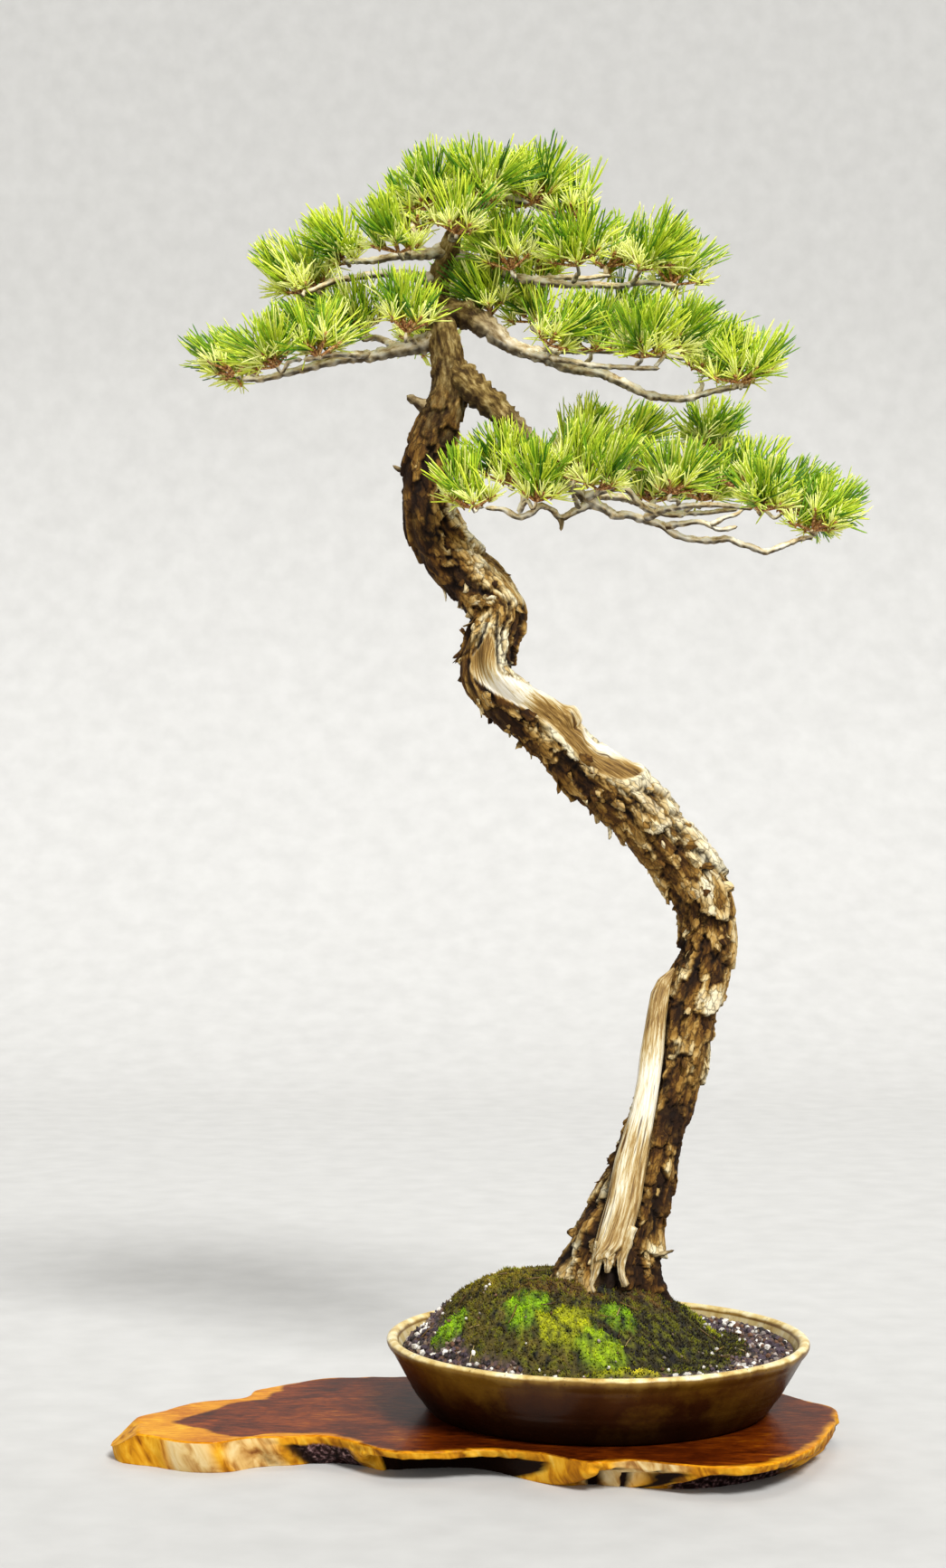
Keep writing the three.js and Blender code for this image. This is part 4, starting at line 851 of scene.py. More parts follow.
def place_trunk(turn, row):
    """The trunk's points, from under the soil to its tip, with its bark and its bare strip."""
    angle = 2 * math.pi * (turn - 0.5)
    outwards = outwards_at(angle, trunk_front[row], trunk_side[row])
    reach = trunk_reach(row, outwards)
    walked = trunk_walked[row]
    broad = np.cos(3 * angle + 0.011 * walked + 0.6)
    narrow = np.cos(5 * angle - 0.018 * walked)
    reach *= 1 + 0.05 * broad + 0.025 * narrow
    around = trunk_line[row, 3][:, None] * np.column_stack([np.cos(angle), np.sin(angle)])
    coat = np.column_stack([around, walked])
    stand, depth, tone = bark_relief(coat)
    height = trunk_line[row, 2]
    young = smooth_step(YOUNG_FROM, YOUNG_TO, height)
    bleached = np.zeros(len(row))
    knobs = 0.8 * noise_at(coat * [1, 1, 0.8], 7, octaves=2, seed=38) + 0.35 * noise_at(coat, 2.5, seed=39)
    flat = (trunk_line[row, :3] + reach[:, None] * outwards)[:, ::2]
    # The strip without bark: a raised crest, a hollow channel below it, and a thin lip.
    outline = [*BARE_CREST, *reversed(BARE_LIP)]
    near = (height > BARE_FROM) & (height < BARE_TO) & (np.cos(angle) > -0.45)
    bare, channel, crest, split = np.zeros((4, len(row)))
    calm = np.ones(len(row))
    spots = flat[near] + 0.8 * np.column_stack([noise_at(coat[near], 5, seed=k) for k in (41, 42)])
    to_crest, to_lip = away_from(spots, BARE_CREST), away_from(spots, BARE_LIP)
    edge = np.minimum(to_crest, to_lip)
    bare[near] = is_inside(spots, outline) * smooth_step(0, 0.9, edge)
    calm[near] = 0.25 + 0.75 * smooth_step(0, 5, edge)
    for line in BARE_SPLITS:
        split[near] = np.maximum(split[near], 1 - smooth_step(0.4, 1.5, away_from(spots, line)))
    share = to_crest / (to_crest + to_lip)
    from_crest = np.ones(len(row))
    from_crest[near] = share
    opened = smooth_step(-54, -30, spots[:, 0])
    channel[near] = bare[near] * window(0.34, 0.93, 0.16, share) * (0.2 + 0.8 * opened)
    crest[near] = bare[near] * (1 - smooth_step(0.12, 0.34, share)) * opened
    bleached[near] = np.maximum(crest[near], bare[near] * (1 - opened))
    tanned = bare * smooth_step(462, 480, height)
    bleached *= 1 - tanned
    grain = noise_at(coat * [1, 1, 0.06], 1.7, octaves=2, seed=43)
    smooth_wood = -1.0 - CHANNEL_DEPTH * channel + 0.6 * crest + 0.4 * grain * bare
    smooth_wood += 2.6 * np.exp(-((flat - BARE_KNOT) ** 2).sum(axis=1) / 12)
    smooth_wood -= 3.4 * window(-7, 4, 3, flat[:, 0]) * (1 - smooth_step(0.2, 0.6, from_crest)) * bare
    smooth_wood += 0.45 * noise_at(coat, 3, seed=44) * crest
    reach += (1 - bare) * calm * (stand * (1 - 0.72 * young) + knobs * young) + bare * smooth_wood
    reach -= SPLIT_DEPTH * split
    depth = np.maximum(depth * (1 - 0.6 * young) * (1 - bare), split)
    # Painted light: bark that faces up, to the right and to the front is painted paler, as lit, and
    # bark that faces down or away is painted browner, as shade.
    facing = outwards @ PAINTED_LIGHT_WAY + 0.55 * noise_at(coat, 26, seed=45)
    tone = tone + 0.58 * (smooth_step(-0.5, 1.0, facing) - 0.45)
    tone += 0.3 * smooth_step(-2, -16, flat[:, 0]) * smooth_step(150, 120, height)
    # Paler along the bend, and painted darker above 480 mm, as shade under the foliage.
    tone += 0.14 * window(345, 440, 20, height) - 0.2 * smooth_step(480, 530, height)
    right_edge = np.interp(height, PLANK_LEVELS, PLANK_RIGHT)
    tone -= 0.3 * smooth_step(-4, 6, flat[:, 0] - right_edge) * smooth_step(230, 190, height)
    tone = np.clip(tone, 0, 1)
    # The bark is thinned behind the lower plank of bare wood, which lies in that hollow.
    behind = window(112, 262, 8, height) * (np.cos(angle) > 0)
    plank_x = np.interp(height, PLANK_LEVELS, (PLANK_LEFT + PLANK_RIGHT) / 2)
    plank_half = np.interp(height, PLANK_LEVELS, (PLANK_RIGHT - PLANK_LEFT) / 2)
    hollow = behind * (1 - smooth_step(0.9, 1.35, np.abs(flat[:, 0] - plank_x) / plank_half))
    reach -= PLANK_BED * hollow
    cave = window(92, 116, 4, height) * window(-4, 16, 3, flat[:, 0]) * (np.cos(angle) > 0.2)
    reach -= CAVE_DEPTH * cave
    # Painted shade: the bed behind the plank and the gap between the roots are marked dark.
    depth = np.maximum(depth, np.maximum(0.9 * hollow, 0.95 * cave))
    ends = (row == 0) | (row == TRUNK_ROWS)
    reach = np.where(ends, 0, np.maximum(reach, 0.6))
    points = trunk_line[row, :3] + reach[:, None] * outwards
    return points, {"unrolled": coat * MM, "crack_and_shade": depth, "tone": tone, "bare": bare,
                    "channel": channel - 0.7 * bleached + 0.8 * tanned, "young": young, "pale": 0 * young}


trunk = rolled("trunk", TRUNK_AROUND, TRUNK_ROWS, place_trunk)


def bare_wood(material, along, golden):
    """The colour and the fine relief of pine wood that lost its bark long ago: silver-cream on
    top and honey-brown where it is hollow, with slits. Its grain is drawn 1.1 mm apart, coarser
    than life so that it shows."""
    fibre_place = node(material, "Mapping", {"Vector": along, "Scale": (900, 900, 60)})
    fibre = node(material, "TexNoise", {"Vector": fibre_place, "Scale": 1.0, "Detail": 5,
                                        "Roughness": 0.7, "Distortion": 0.5})
    broad_place = node(material, "Mapping", {"Vector": along, "Scale": (260, 260, 22)})
    broad = node(material, "TexNoise", {"Vector": broad_place, "Scale": 1.0, "Detail": 4})
    light = node(material, "Math", {0: fibre, 1: 0.8, 2: -0.02}, operation="MULTIPLY_ADD")
    light = node(material, "Math", {0: broad, 1: 0.2, 2: light}, operation="MULTIPLY_ADD")
    light = node(material, "Math", {0: golden, 1: -0.2, 2: light}, operation="MULTIPLY_ADD")
    tone = node(material, "ValToRGB", {0: light}, stops=[
        (0.15, "402810"), (0.28, "7a5a28"), (0.38, "a88648"), (0.465, "cebb8c"), (0.55, "e8dec4"),
        (0.66, "f4eee0")])
    slit_place = node(material, "Mapping", {"Vector": along, "Scale": (520, 520, 24)})
    slits = node(material, "TexNoise", {"Vector": slit_place, "Scale": 1.0, "Detail": 3})
    slit = node(material, "MapRange", {0: slits, 1: 0.4, 2: 0.34, 4: 0.85})
    worn = node(material, "Mix", {0: slit, 6: tone, 7: srgb("4a3014")}, data_type="RGBA")
    return worn, fibre


# Pine bark: matt and corky. Plate faces are weathered grey to cream, their broken edges and the
# layers below are orange-brown, and the cracks are almost black. The same near-black is painted
# shade in grooves, low places and hollows and on the undersides of branches. Young bark is grey-brown.
pine_bark = new_material("old_pine_bark")
coat = node(pine_bark, "Attribute", attribute_name="unrolled").outputs["Vector"]
tone, crack_and_shade, young, pale, bare, channel = [
    node(pine_bark, "Attribute", attribute_name=key).outputs["Fac"]
    for key in ("tone", "crack_and_shade", "young", "pale", "bare", "channel")]
mottle_place = node(pine_bark, "Mapping", {"Vector": coat, "Scale": (300, 300, 130)})
mottle = node(pine_bark, "TexNoise", {"Vector": mottle_place, "Scale": 1.0, "Detail": 7, "Roughness": 0.62})
# Small flakes, 3 by 8 mm, with thin dark gaps between them.
wobble = node(pine_bark, "TexNoise", {"Vector": coat, "Scale": 420, "Detail": 2})
bent_coat = node(pine_bark, "VectorMath", {0: wobble.outputs["Color"], 1: (0.0022, 0.0022, 0.003), 2: coat},
                 operation="MULTIPLY_ADD")
flake_place = node(pine_bark, "Mapping", {"Vector": bent_coat, "Scale": (330, 330, 120)})
flakes = node(pine_bark, "TexVoronoi", {"Vector": flake_place, "Scale": 1.0})
flake_edge = node(pine_bark, "TexVoronoi", {"Vector": flake_place, "Scale": 1.0},
                  feature="DISTANCE_TO_EDGE")
gap = node(pine_bark, "MapRange", {0: flake_edge, 1: 0.0, 2: 0.11, 3: 0.65, 4: 0.0})
light = node(pine_bark, "Math", {0: tone, 1: 0.74, 2: -0.15}, operation="MULTIPLY_ADD")
light = node(pine_bark, "Math", {0: mottle, 1: 0.34, 2: light}, operation="MULTIPLY_ADD")
light = node(pine_bark, "Math", {0: flakes.outputs["Color"], 1: 0.22, 2: light}, operation="MULTIPLY_ADD")
plates = node(pine_bark, "ValToRGB", {0: light}, stops=[
    (0.24, "281505"), (0.36, "583812"), (0.46, "876228"), (0.55, "b08c4c"), (0.66, "d6be88"),
    (0.8, "f0e4c0")])
rust = node(pine_bark, "TexNoise", {"Vector": coat, "Scale": 62, "Detail": 5, "Roughness": 0.6})
rusty = node(pine_bark, "MapRange", {0: rust, 1: 0.5, 2: 0.66, 4: 0.4})
layer = node(pine_bark, "ValToRGB", {0: mottle}, stops=[
    (0.36, "4c300e"), (0.5, "94692a"), (0.66, "c0984c")])
old = node(pine_bark, "Mix", {0: rusty, 6: plates, 7: layer}, data_type="RGBA")
old = node(pine_bark, "Mix", {0: gap, 6: old, 7: srgb("2c1a0a")}, data_type="RGBA")
# The crack colour, near black, is also painted shade: in grooves and low places, behind the plank, between
# the roots and under the branches.
old = node(pine_bark, "Mix", {0: crack_and_shade, 6: old, 7: srgb("160c06")}, data_type="RGBA")
fresh_tone = node(pine_bark, "ValToRGB", {0: mottle}, stops=[
    (0.34, "2e1f0c"), (0.45, "5c4620"), (0.55, "8c7440"), (0.68, "c2ac74")])
pale_tone = node(pine_bark, "ValToRGB", {0: mottle}, stops=[
    (0.3, "80623a"), (0.4, "ccb282"), (0.48, "efdcb2"), (0.6, "fdf5e0")])
fresh_tone = node(pine_bark, "Mix", {0: pale, 6: fresh_tone, 7: pale_tone}, data_type="RGBA")
# Painted shade on young bark: its undersides and the hollows between its rings take the dark.
fresh_dark = node(pine_bark, "Math", {0: crack_and_shade, 1: 0.92}, operation="MULTIPLY")
fresh = node(pine_bark, "Mix", {0: fresh_dark, 6: fresh_tone, 7: srgb("26160a")}, data_type="RGBA")
barked = node(pine_bark, "Mix", {0: young, 6: old, 7: fresh}, data_type="RGBA")
wood_tone, fibre = bare_wood(pine_bark, coat, channel)
bark_colour = node(pine_bark, "Mix", {0: bare, 6: barked, 7: wood_tone}, data_type="RGBA")
stepped = node(pine_bark, "Math", {0: flakes.outputs["Color"], 1: 0.55, 2: mottle},
               operation="MULTIPLY_ADD")
stepped = node(pine_bark, "Math", {0: gap, 1: -0.6, 2: stepped}, operation="MULTIPLY_ADD")
uncut = node(pine_bark, "Mix", {0: young, 2: stepped, 3: mottle})
relief = node(pine_bark, "Mix", {0: bare, 2: uncut, 3: fibre})
bump = node(pine_bark, "Bump", {"Strength": 0.7, "Distance": 0.001, "Height": relief})
matt = node(pine_bark, "MapRange", {0: bare, 3: 0.88, 4: 0.62})
shader = node(pine_bark, "BsdfPrincipled", {
    "Base Color": bark_colour, "Roughness": matt, "Specular IOR Level": 0.2, "Normal": bump})
node(pine_bark, "OutputMaterial", {0: shader})
trunk.data.materials.append(pine_bark)
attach(trunk, "root")

# The loose bark: thin flakes that have split away and curl off the stem, most of them on its lower
# left side. Each hangs by its upper end.
LOOSE_FLAKES = 300
bpy.ops.object.select_all(action="DESELECT")
bpy.ops.mesh.primitive_grid_add(x_subdivisions=3, y_subdivisions=4, size=2)
bpy.ops.object.modifier_add(type="SOLIDIFY")
bpy.context.object.modifiers[0].thickness = 0.1
bpy.ops.object.modifier_apply(modifier=bpy.context.object.modifiers[0].name)
flake_corners, flake_faces = pattern_of(bpy.context.object)
rng = np.random.default_rng(48)
row = rng.integers(40, 600, 5 * LOOSE_FLAKES)
turn = rng.uniform(0, 1, len(row))
spots, told = place_trunk(turn, row)
angle = 2 * math.pi * (turn - 0.5)
outwards = outwards_at(angle, trunk_front[row], trunk_side[row])
likely = 0.42 - 0.4 * outwards @ [0.6, 0.1, 0.7]
chosen = (told["bare"] < 0.02) & (told["young"] < 0.6) & (spots[:, 2] > 104)
chosen &= rng.uniform(0, 1, len(row)) < likely
from_plank = spots[:, 0] - np.interp(spots[:, 2], PLANK_LEVELS, PLANK_LEFT) - 8
hidden = (np.abs(from_plank) < 16) & (spots[:, 1] < 0)
chosen = np.flatnonzero(chosen & ~(hidden & (spots[:, 2] < 296)))[:LOOSE_FLAKES]
spots, outwards, down = spots[chosen], outwards[chosen], -trunk_ahead[row[chosen]]
count = len(chosen)
across = np.cross(outwards, down)
spin = rng.normal(0, 0.5, count)[:, None]
down, across = np.cos(spin) * down + np.sin(spin) * across, np.cos(spin) * across - np.sin(spin) * down
lift = rng.uniform(0.05, 0.5, count)[:, None]
length, half = rng.uniform(4, 10, count)[:, None, None], rng.uniform(1.4, 3.4, count)[:, None, None]
u, v, w = flake_corners.T
spoiled = rng.uniform(0.7, 1.25, (count, len(u)))
u, v = u[None] * spoiled, (v[None] + 1) / 2 * rng.uniform(0.8, 1.1, (count, len(v)))
curl = rng.uniform(-0.2, 0.4, count)[:, None]
rise = np.sin(lift) * v + curl * v ** 2 - 0.16 * u ** 2
points = spots[:, None] + length * (v * np.cos(lift))[:, :, None] * down[:, None]
points += length * rise[:, :, None] * outwards[:, None] + half * u[:, :, None] * across[:, None]
points += (4 * w[None, :, None] - 0.8) * outwards[:, None]
coats = np.stack([half[:, :, 0] * u, 0 * u, length[:, :, 0] * v], axis=2) * MM
coats += told["unrolled"][chosen][:, None]
plain = np.zeros(u.shape)
loose = fused("loose_bark_flakes", flake_faces, points, {
    "unrolled": coats, "crack_and_shade": 0.5 * (1 - smooth_step(0, 0.4, v)),
    "tone": plain + rng.uniform(0.2, 0.8, (count, 1)),
    "bare": plain, "channel": plain, "young": plain, "pale": plain})
loose.data.materials.append(pine_bark)
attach(loose, "root")

# The lower plank: the dead front of the trunk, a flat tongue of bare grey-cream wood. It stands on
# the roots on two prongs with a short one between them, and lies along the live stem to a loose
# tip. The wood has shrunk, so cracks run along it.
PLANK_AROUND, PLANK_ROWS = 88, 250
PLANK_BOXINESS = 2.8  # 2 for a round section, more for a boxy one
PLANK_FOOT, PLANK_TIP = 109, 291.5
# Its height, y and half depth, from the foot to the tip.
PLANK_DEPTHS = np.array([
    (106, -22, 6), (118, -21, 8), (142, -18, 8.5), (168, -14, 8), (196, -10, 7.5), (228, -6, 6.5),
    (258, -3, 5), (280, -1.5, 3), (292, -1, 1)])
PRONG_AROUND, PRONG_ROWS = 22, 26
PRONGS = [
    [(2, -22, 126, 4.5), (-1, -23, 114, 3.6), (-3, -24, 105, 2.2), (-5, -25, 99, 1.6),
     (-3, -26, 94, 1.8)],
    [(20, -23, 136, 4), (16.5, -24, 124, 3.4), (13.5, -25, 113, 2.7), (13.6, -26, 106, 2.2),
     (16.5, -27, 98, 2.4)],
    [(6.5, -24, 124, 4.2), (6, -25, 116, 3.6), (5.2, -26, 110, 2.3), (4.6, -26, 106.5, 1.2)],
]


def place_plank(turn, row):
    """The plank's points, from its foot to its tip, with grain and cracks along it."""
    angle = 2 * math.pi * (turn - 0.5)
    height = np.interp(row, [0, PLANK_ROWS], [PLANK_FOOT, PLANK_TIP])
    left = np.interp(height, PLANK_LEVELS, PLANK_LEFT)
    right = np.interp(height, PLANK_LEVELS, PLANK_RIGHT)
    across, deep = np.sin(angle), -np.cos(angle)
    boxy = (np.abs(across) ** PLANK_BOXINESS + np.abs(deep) ** PLANK_BOXINESS) ** (-1 / PLANK_BOXINESS)
    across, deep = across * boxy, deep * boxy
    y = np.interp(height, PLANK_DEPTHS[:, 0], PLANK_DEPTHS[:, 1])
    half = np.interp(height, PLANK_DEPTHS[:, 0], PLANK_DEPTHS[:, 2])
    rim = np.column_stack([across * (right - left) / 2, deep * half, height])
    grain = noise_at(rim * [1, 1, 0.045], 2.1, octaves=3, seed=50)
    splits = -np.clip(noise_at(rim * [1, 1, 0.06], 3.4, seed=51) - 0.32, 0, 1) * 6.5
    splits *= smooth_step(205, 170, height)
    waves = 0.7 * noise_at(rim * [0.3, 0.3, 0.6], 16, seed=52)
    out = 0.5 * grain + splits + waves
    ragged = 2.2 * noise_at(rim * [1, 0, 0], 2.4, seed=53) * smooth_step(122, PLANK_FOOT, height)
    share = np.where((row == 0) | (row == PLANK_ROWS), 0.0, 1.0)
    arch = 6 * (1 - np.abs(share * across) ** 3) * smooth_step(130, PLANK_FOOT, height)
    x = (left + right) / 2 + share * across * ((right - left) / 2 + 0.5 * out)
    y = y + share * deep * (half + out)
    golden = 0.5 * smooth_step(0.1, 0.6, noise_at(rim * [1.6, 1.6, 0.1], 9, octaves=2, seed=54))
    streaks = smooth_step(0, 0.4, noise_at(rim * [2, 2, 0.08], 6, seed=56))
    golden += 0.5 * smooth_step(200, 160, height) * streaks
    golden += 0.6 * smooth_step(238, 262, height) - 0.5 * window(196, 232, 10, height)
    golden += 0.45 * smooth_step(0.1, 0.7, share * across) * smooth_step(200, 180, height)
    golden = np.clip(golden + 1.8 * np.clip(-splits, 0, 0.8), -0.4, 1.6)
    return np.column_stack([x, y, height + arch + ragged * share]), {"unrolled": rim * MM, "golden": golden}


def place_prong(rows):
    """The placing of one prong along the given rows."""
    line = smooth_line(rows, PRONG_ROWS + 1)
    _, front, side = frames_along(line)

    def place(turn, row):
        angle = 2 * math.pi * (turn - 0.5)
        coat = np.column_stack([3 * np.cos(angle), 3 * np.sin(angle), 2.4 * row])
        reach = line[row, 3] * (1 + 0.22 * noise_at(coat, 3, octaves=2, seed=55))
        reach = np.where((row == 0) | (row == PRONG_ROWS), 0, reach)[:, None]
        outwards = outwards_at(angle, front[row], side[row])
        return line[row, :3] + reach * outwards, {"unrolled": coat * MM, "golden": 0.2 + 0 * turn}

    return place


def joined(pieces, name):
    """Several meshes as one piece of the given name."""
    select_only(*pieces)
    bpy.ops.object.join()
    pieces[0].name = pieces[0].data.name = name
    return pieces[0]


plank = rolled("plank", PLANK_AROUND, PLANK_ROWS, place_plank)
prongs = [rolled("prong", PRONG_AROUND, PRONG_ROWS, place_prong(rows)) for rows in PRONGS]
plank = joined([plank, *prongs], "bare_wood_plank")

# Weathered heartwood: dry and matt, silver-cream with honey-brown hollows and grain along it.
silvered = new_material("weathered_pine_heartwood")
coat = node(silvered, "Attribute", attribute_name="unrolled").outputs["Vector"]
golden = node(silvered, "Attribute", attribute_name="golden").outputs["Fac"]
wood_tone, fibre = bare_wood(silvered, coat, golden)
bump = node(silvered, "Bump", {"Strength": 0.5, "Distance": 0.0007, "Height": fibre})
shader = node(silvered, "BsdfPrincipled", {"Base Color": wood_tone, "Roughness": 0.62, "Normal": bump})
node(silvered, "OutputMaterial", {0: shader})
plank.data.materials.append(silvered)
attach(plank, "root")

# The branches, twigs and snags: young pine wood, bent by wire years ago, so they dip and turn.
# Their thin bark is grey-tan, ringed and knobbly where needles fell. Each grows out of the stem
# or branch that carries it. Each row is x, y, z, radius, from inside its carrier to its tip.
BRANCHES = {
    "low_right": [
        (-97, 0, 664, 9.5), (-78, -8, 651, 9), (-63, -12, 636, 8), (-48, -14, 621, 6.8),
        (-34, -12, 606, 6), (-20, -6, 592, 5.2), (-8, -2, 582, 4.4), (3, 0, 576.5, 3.8),
        (11, 1, 571.5, 3.4), (19, 2, 572, 3.1), (30, 2, 568.5, 3.1), (40, 2, 565, 2.9),
        (48, 1, 559, 2.8), (61, 0, 556.5, 2.7), (73, -3, 555.5, 2.6), (81, -4, 556.5, 2.4),
        (88, -5, 554, 2.5), (95, -6, 552, 2.4), (102, -5, 548.5, 2.5), (109, -4, 549.8, 2.3),
        (118, -3, 553.5, 2.1), (126, -1, 556.5, 2), (134, 0, 558, 1.8)],
    "low_right_strand": [
        (-8, -3, 582, 3.2), (3, -8, 585.5, 2.6), (11, -11, 587, 2.5), (19, -12, 585.5, 2.4),
        (23.5, -11, 580, 2.3), (29, -10, 575, 2.2), (37, -9, 572.3, 2.1), (46, -8, 571, 2),
        (54, -8, 570.5, 1.6)],
    "low_right_fork": [
        (42, 1, 564.5, 2.6), (53, -7, 565.5, 2.1), (62, -10, 566, 2), (70, -11, 563.7, 1.9),
        (74, -11, 562, 1.8), (81, -11, 562.5, 1.7), (86, -10, 563.5, 1.3)],
    "low_right_rise": [
        (68, -11, 564.2, 1.8), (73, -12, 566, 1.7), (79, -13, 569, 1.6), (85, -13, 570.3, 1.6),
        (90.5, -12, 576, 1.5), (99, -10, 584, 1.2)],
    "low_right_stub": [
        (-49, -18, 570.5, 2.1), (-46, -20, 580, 2.1), (-48, -20, 588, 1.9), (-48, -19, 595, 1.3)],
    "low_right_inner": [
        (-4, 0, 579, 3.4), (-14, -6, 573.5, 2.6), (-23, -9, 569, 2.6), (-28, -11, 574, 2.4),
        (-36, -14, 576.5, 2.3), (-42, -16, 571, 2.5), (-50, -18, 568.5, 2.4), (-59, -19, 573, 2),
        (-70, -20, 574, 1.7)],
    "low_right_back": [
        (-10, -2, 582, 3.6), (13, 18, 585, 3), (30, 40, 582, 2.5), (60, 50, 578, 2.1),
        (92, 48, 580, 1.7)],
    "low_right_front": [
        (30, 2, 570, 3), (46, -22, 574, 2.3), (68, -38, 574, 2), (92, -46, 571, 1.6)],
    "low_right_upper": [
        (-38, -13, 610, 4.4), (-28, 10, 612, 3.2), (-8, 34, 608, 2.4), (26, 50, 606, 1.9),
        (58, 58, 608, 1.6)],
    "mid_right": [
        (-99, 5, 697, 8.4), (-82, 2, 696, 8), (-70, -4, 689, 7), (-54, -8, 676, 5.4),
        (-36, -6, 669, 4.8), (-14, -2, 662, 4.2), (10, 3, 657, 3.6), (32, 4, 647, 3.2),
        (52, 0, 644, 2.8), (74, -5, 648, 2.3), (94, -8, 651, 1.8)],
    "mid_right_back": [
        (-44, -7, 672, 3.6), (-22, 18, 676, 2.8), (6, 40, 680, 2.3), (38, 50, 678, 2),
        (62, 50, 676, 1.6)],
    "mid_right_front": [
        (-46, -8, 672, 3.2), (-26, -28, 664, 2.4), (6, -40, 658, 2), (36, -42, 656, 1.6)],
    "top_right": [
        (-95, 10, 736, 5.4), (-76, 12, 731, 4.6), (-57, 8, 723, 3.8), (-36, 2, 717, 3.2),
        (-14, 0, 714, 2.8), (10, -3, 713, 2.4), (32, -4, 714, 2.1), (50, -2, 713, 1.7)],
    "top_right_back": [
        (-42, 4, 718, 2.8), (-20, 22, 722, 2.3), (10, 28, 725, 1.7)],
    "crown_right": [
        (-87, 1, 752, 4.2), (-73, -4, 762, 3.4), (-56, -7, 766, 2.8), (-40, -10, 762, 2.4),
        (-26, -11, 755, 2), (-12, -10, 755, 1.6)],
    "crown_back": [
        (-85, 0, 758, 3), (-74, 22, 768, 2.4), (-56, 40, 774, 1.8)],
    "crown_front": [
        (-90, 4, 742, 3.2), (-88, -18, 746, 2.4), (-84, -34, 748, 1.8)],
    "upper_left": [
        (-95, 10, 738, 5), (-106, -2, 733, 4.2), (-120, -10, 730, 3.4), (-138, -8, 728, 2.7),
        (-156, 2, 729, 2)],
    "upper_left_rise": [
        (-106, -2, 733, 3.2), (-112, 14, 744, 2.4), (-116, 26, 758, 1.8)],
    "mid_left": [
        (-100, 12, 719, 5), (-118, 11, 722, 3.8), (-136, 7, 722, 3), (-158, 0, 717, 2.4),
        (-180, -8, 708, 1.8)],
    "low_left": [
        (-97, -4, 682, 6.6), (-114, -8, 674, 5.4), (-132, -12, 670, 4.6), (-154, -15, 666, 3.8),
        (-176, -14, 661, 3.2), (-200, -10, 656, 2.6), (-220, -4, 655, 2)],
    "low_left_front": [
        (-140, -13, 669, 2.8), (-158, -30, 666, 2.2), (-180, -38, 662, 1.7)],
    "low_left_back": [
        (-122, -10, 673, 3.4), (-134, 14, 682, 2.6), (-152, 30, 688, 2), (-166, 38, 692, 1.6)],
    "back": [
        (-100, 12, 704, 6), (-96, 28, 704, 4.8), (-96, 46, 708, 3.8), (-90, 62, 724, 2.8),
        (-76, 76, 742, 2)],
    "back_low": [
        (-96, 40, 706, 3.2), (-102, 48, 694, 2.4), (-106, 54, 684, 1.8)],
}
SNAGS = [
    [(-23, -9, 569, 2.2), (-22.5, -11, 565, 1.6), (-23, -11.5, 560.5, 0.9)],
    [(-100, -2, 634, 6), (-110, -4, 640, 4), (-118, -5, 645, 2.6)],
    [(26, -4, 112, 3.4), (38, -8, 115, 1.9), (47, -10, 118, 1)],
    [(-100, 8, 598, 4), (-122, 6, 600, 2.2), (-127, 5, 603, 1)],
]


def limb(name, rows, around, ring, number, wiggle=0.8, bleach=1.0):
    """One tapering length of young wood with a collar at its foot, along the given rows: around
    is how many points go round it, and ring how many mm lie between two rings of points."""
    length = np.linalg.norm(np.diff(np.array(rows)[:, :3], axis=0), axis=1).sum()
    steps = max(6, round(length / ring))
    line = smooth_line(rows, steps + 1)
    walked = np.linspace(0, length, steps + 1)
    spots = np.column_stack([walked, 0 * walked + 7 * number, 0 * walked])
    free = smooth_step(0, 12, walked) * smooth_step(0, 12, length - walked)
    for axis in range(3):
        line[:, axis] += wiggle * noise_at(spots, 17, seed=60 + axis) * free
    line[:, 3] *= 1 - 0.2 * smooth_step(7, 4, line[:, 3])
    _, front, side = frames_along(line, ease=5)

    def place(turn, row):
        angle = 2 * math.pi * (turn - 0.5)
        radius = line[row, 3]
        coat = radius[:, None] * np.column_stack([np.cos(angle), np.sin(angle)])
        coat = np.column_stack([coat, walked[row] + 60 * number])
        joints = np.cos(coat[:, 2] / 1.35 + 4 * noise_at(coat * [0.2, 0.2, 1], 14, seed=67))
        rings = 0.16 * np.clip(joints, 0, 1) ** 2 - 0.13 * smooth_step(-0.9, -1, joints)
        rings += 0.04 * np.cos(coat[:, 2] / 0.5 + 3 * noise_at(coat, 9, seed=63))
        knobs = 0.2 * noise_at(coat, 5, octaves=2, seed=64) + 0.12 * noise_at(coat, 1.8, seed=65)
        swollen = 0.4 * np.exp(-walked[row] / 7)
        reach = radius * (1 + rings + knobs + swollen) + 0.25 * noise_at(coat, 1.4, seed=66)
        reach = np.where((row == 0) | (row == steps), 0, np.maximum(reach, 0.5))[:, None]
        outwards = outwards_at(angle, front[row], side[row])
        # Painted shade: the low places between rings and knobs are darker, and so is the underside, which
        # faces down.
        crack_and_shade = -1.9 * (rings + knobs) - 0.08 + 1.05 * smooth_step(0.1, -0.5, outwards[:, 2])
        crack_and_shade = np.clip(crack_and_shade, 0, 1)
        tone = 0.5 + 0.8 * knobs
        stored = {"unrolled": coat * MM, "crack_and_shade": crack_and_shade, "tone": tone, "bare": 0 * tone,
                  "channel": 0 * tone, "young": 1 + 0 * tone, "pale": bleach * smooth_step(8, 3, radius)}
        return line[row, :3] + reach * outwards, stored

    return rolled(name, around, steps, place)


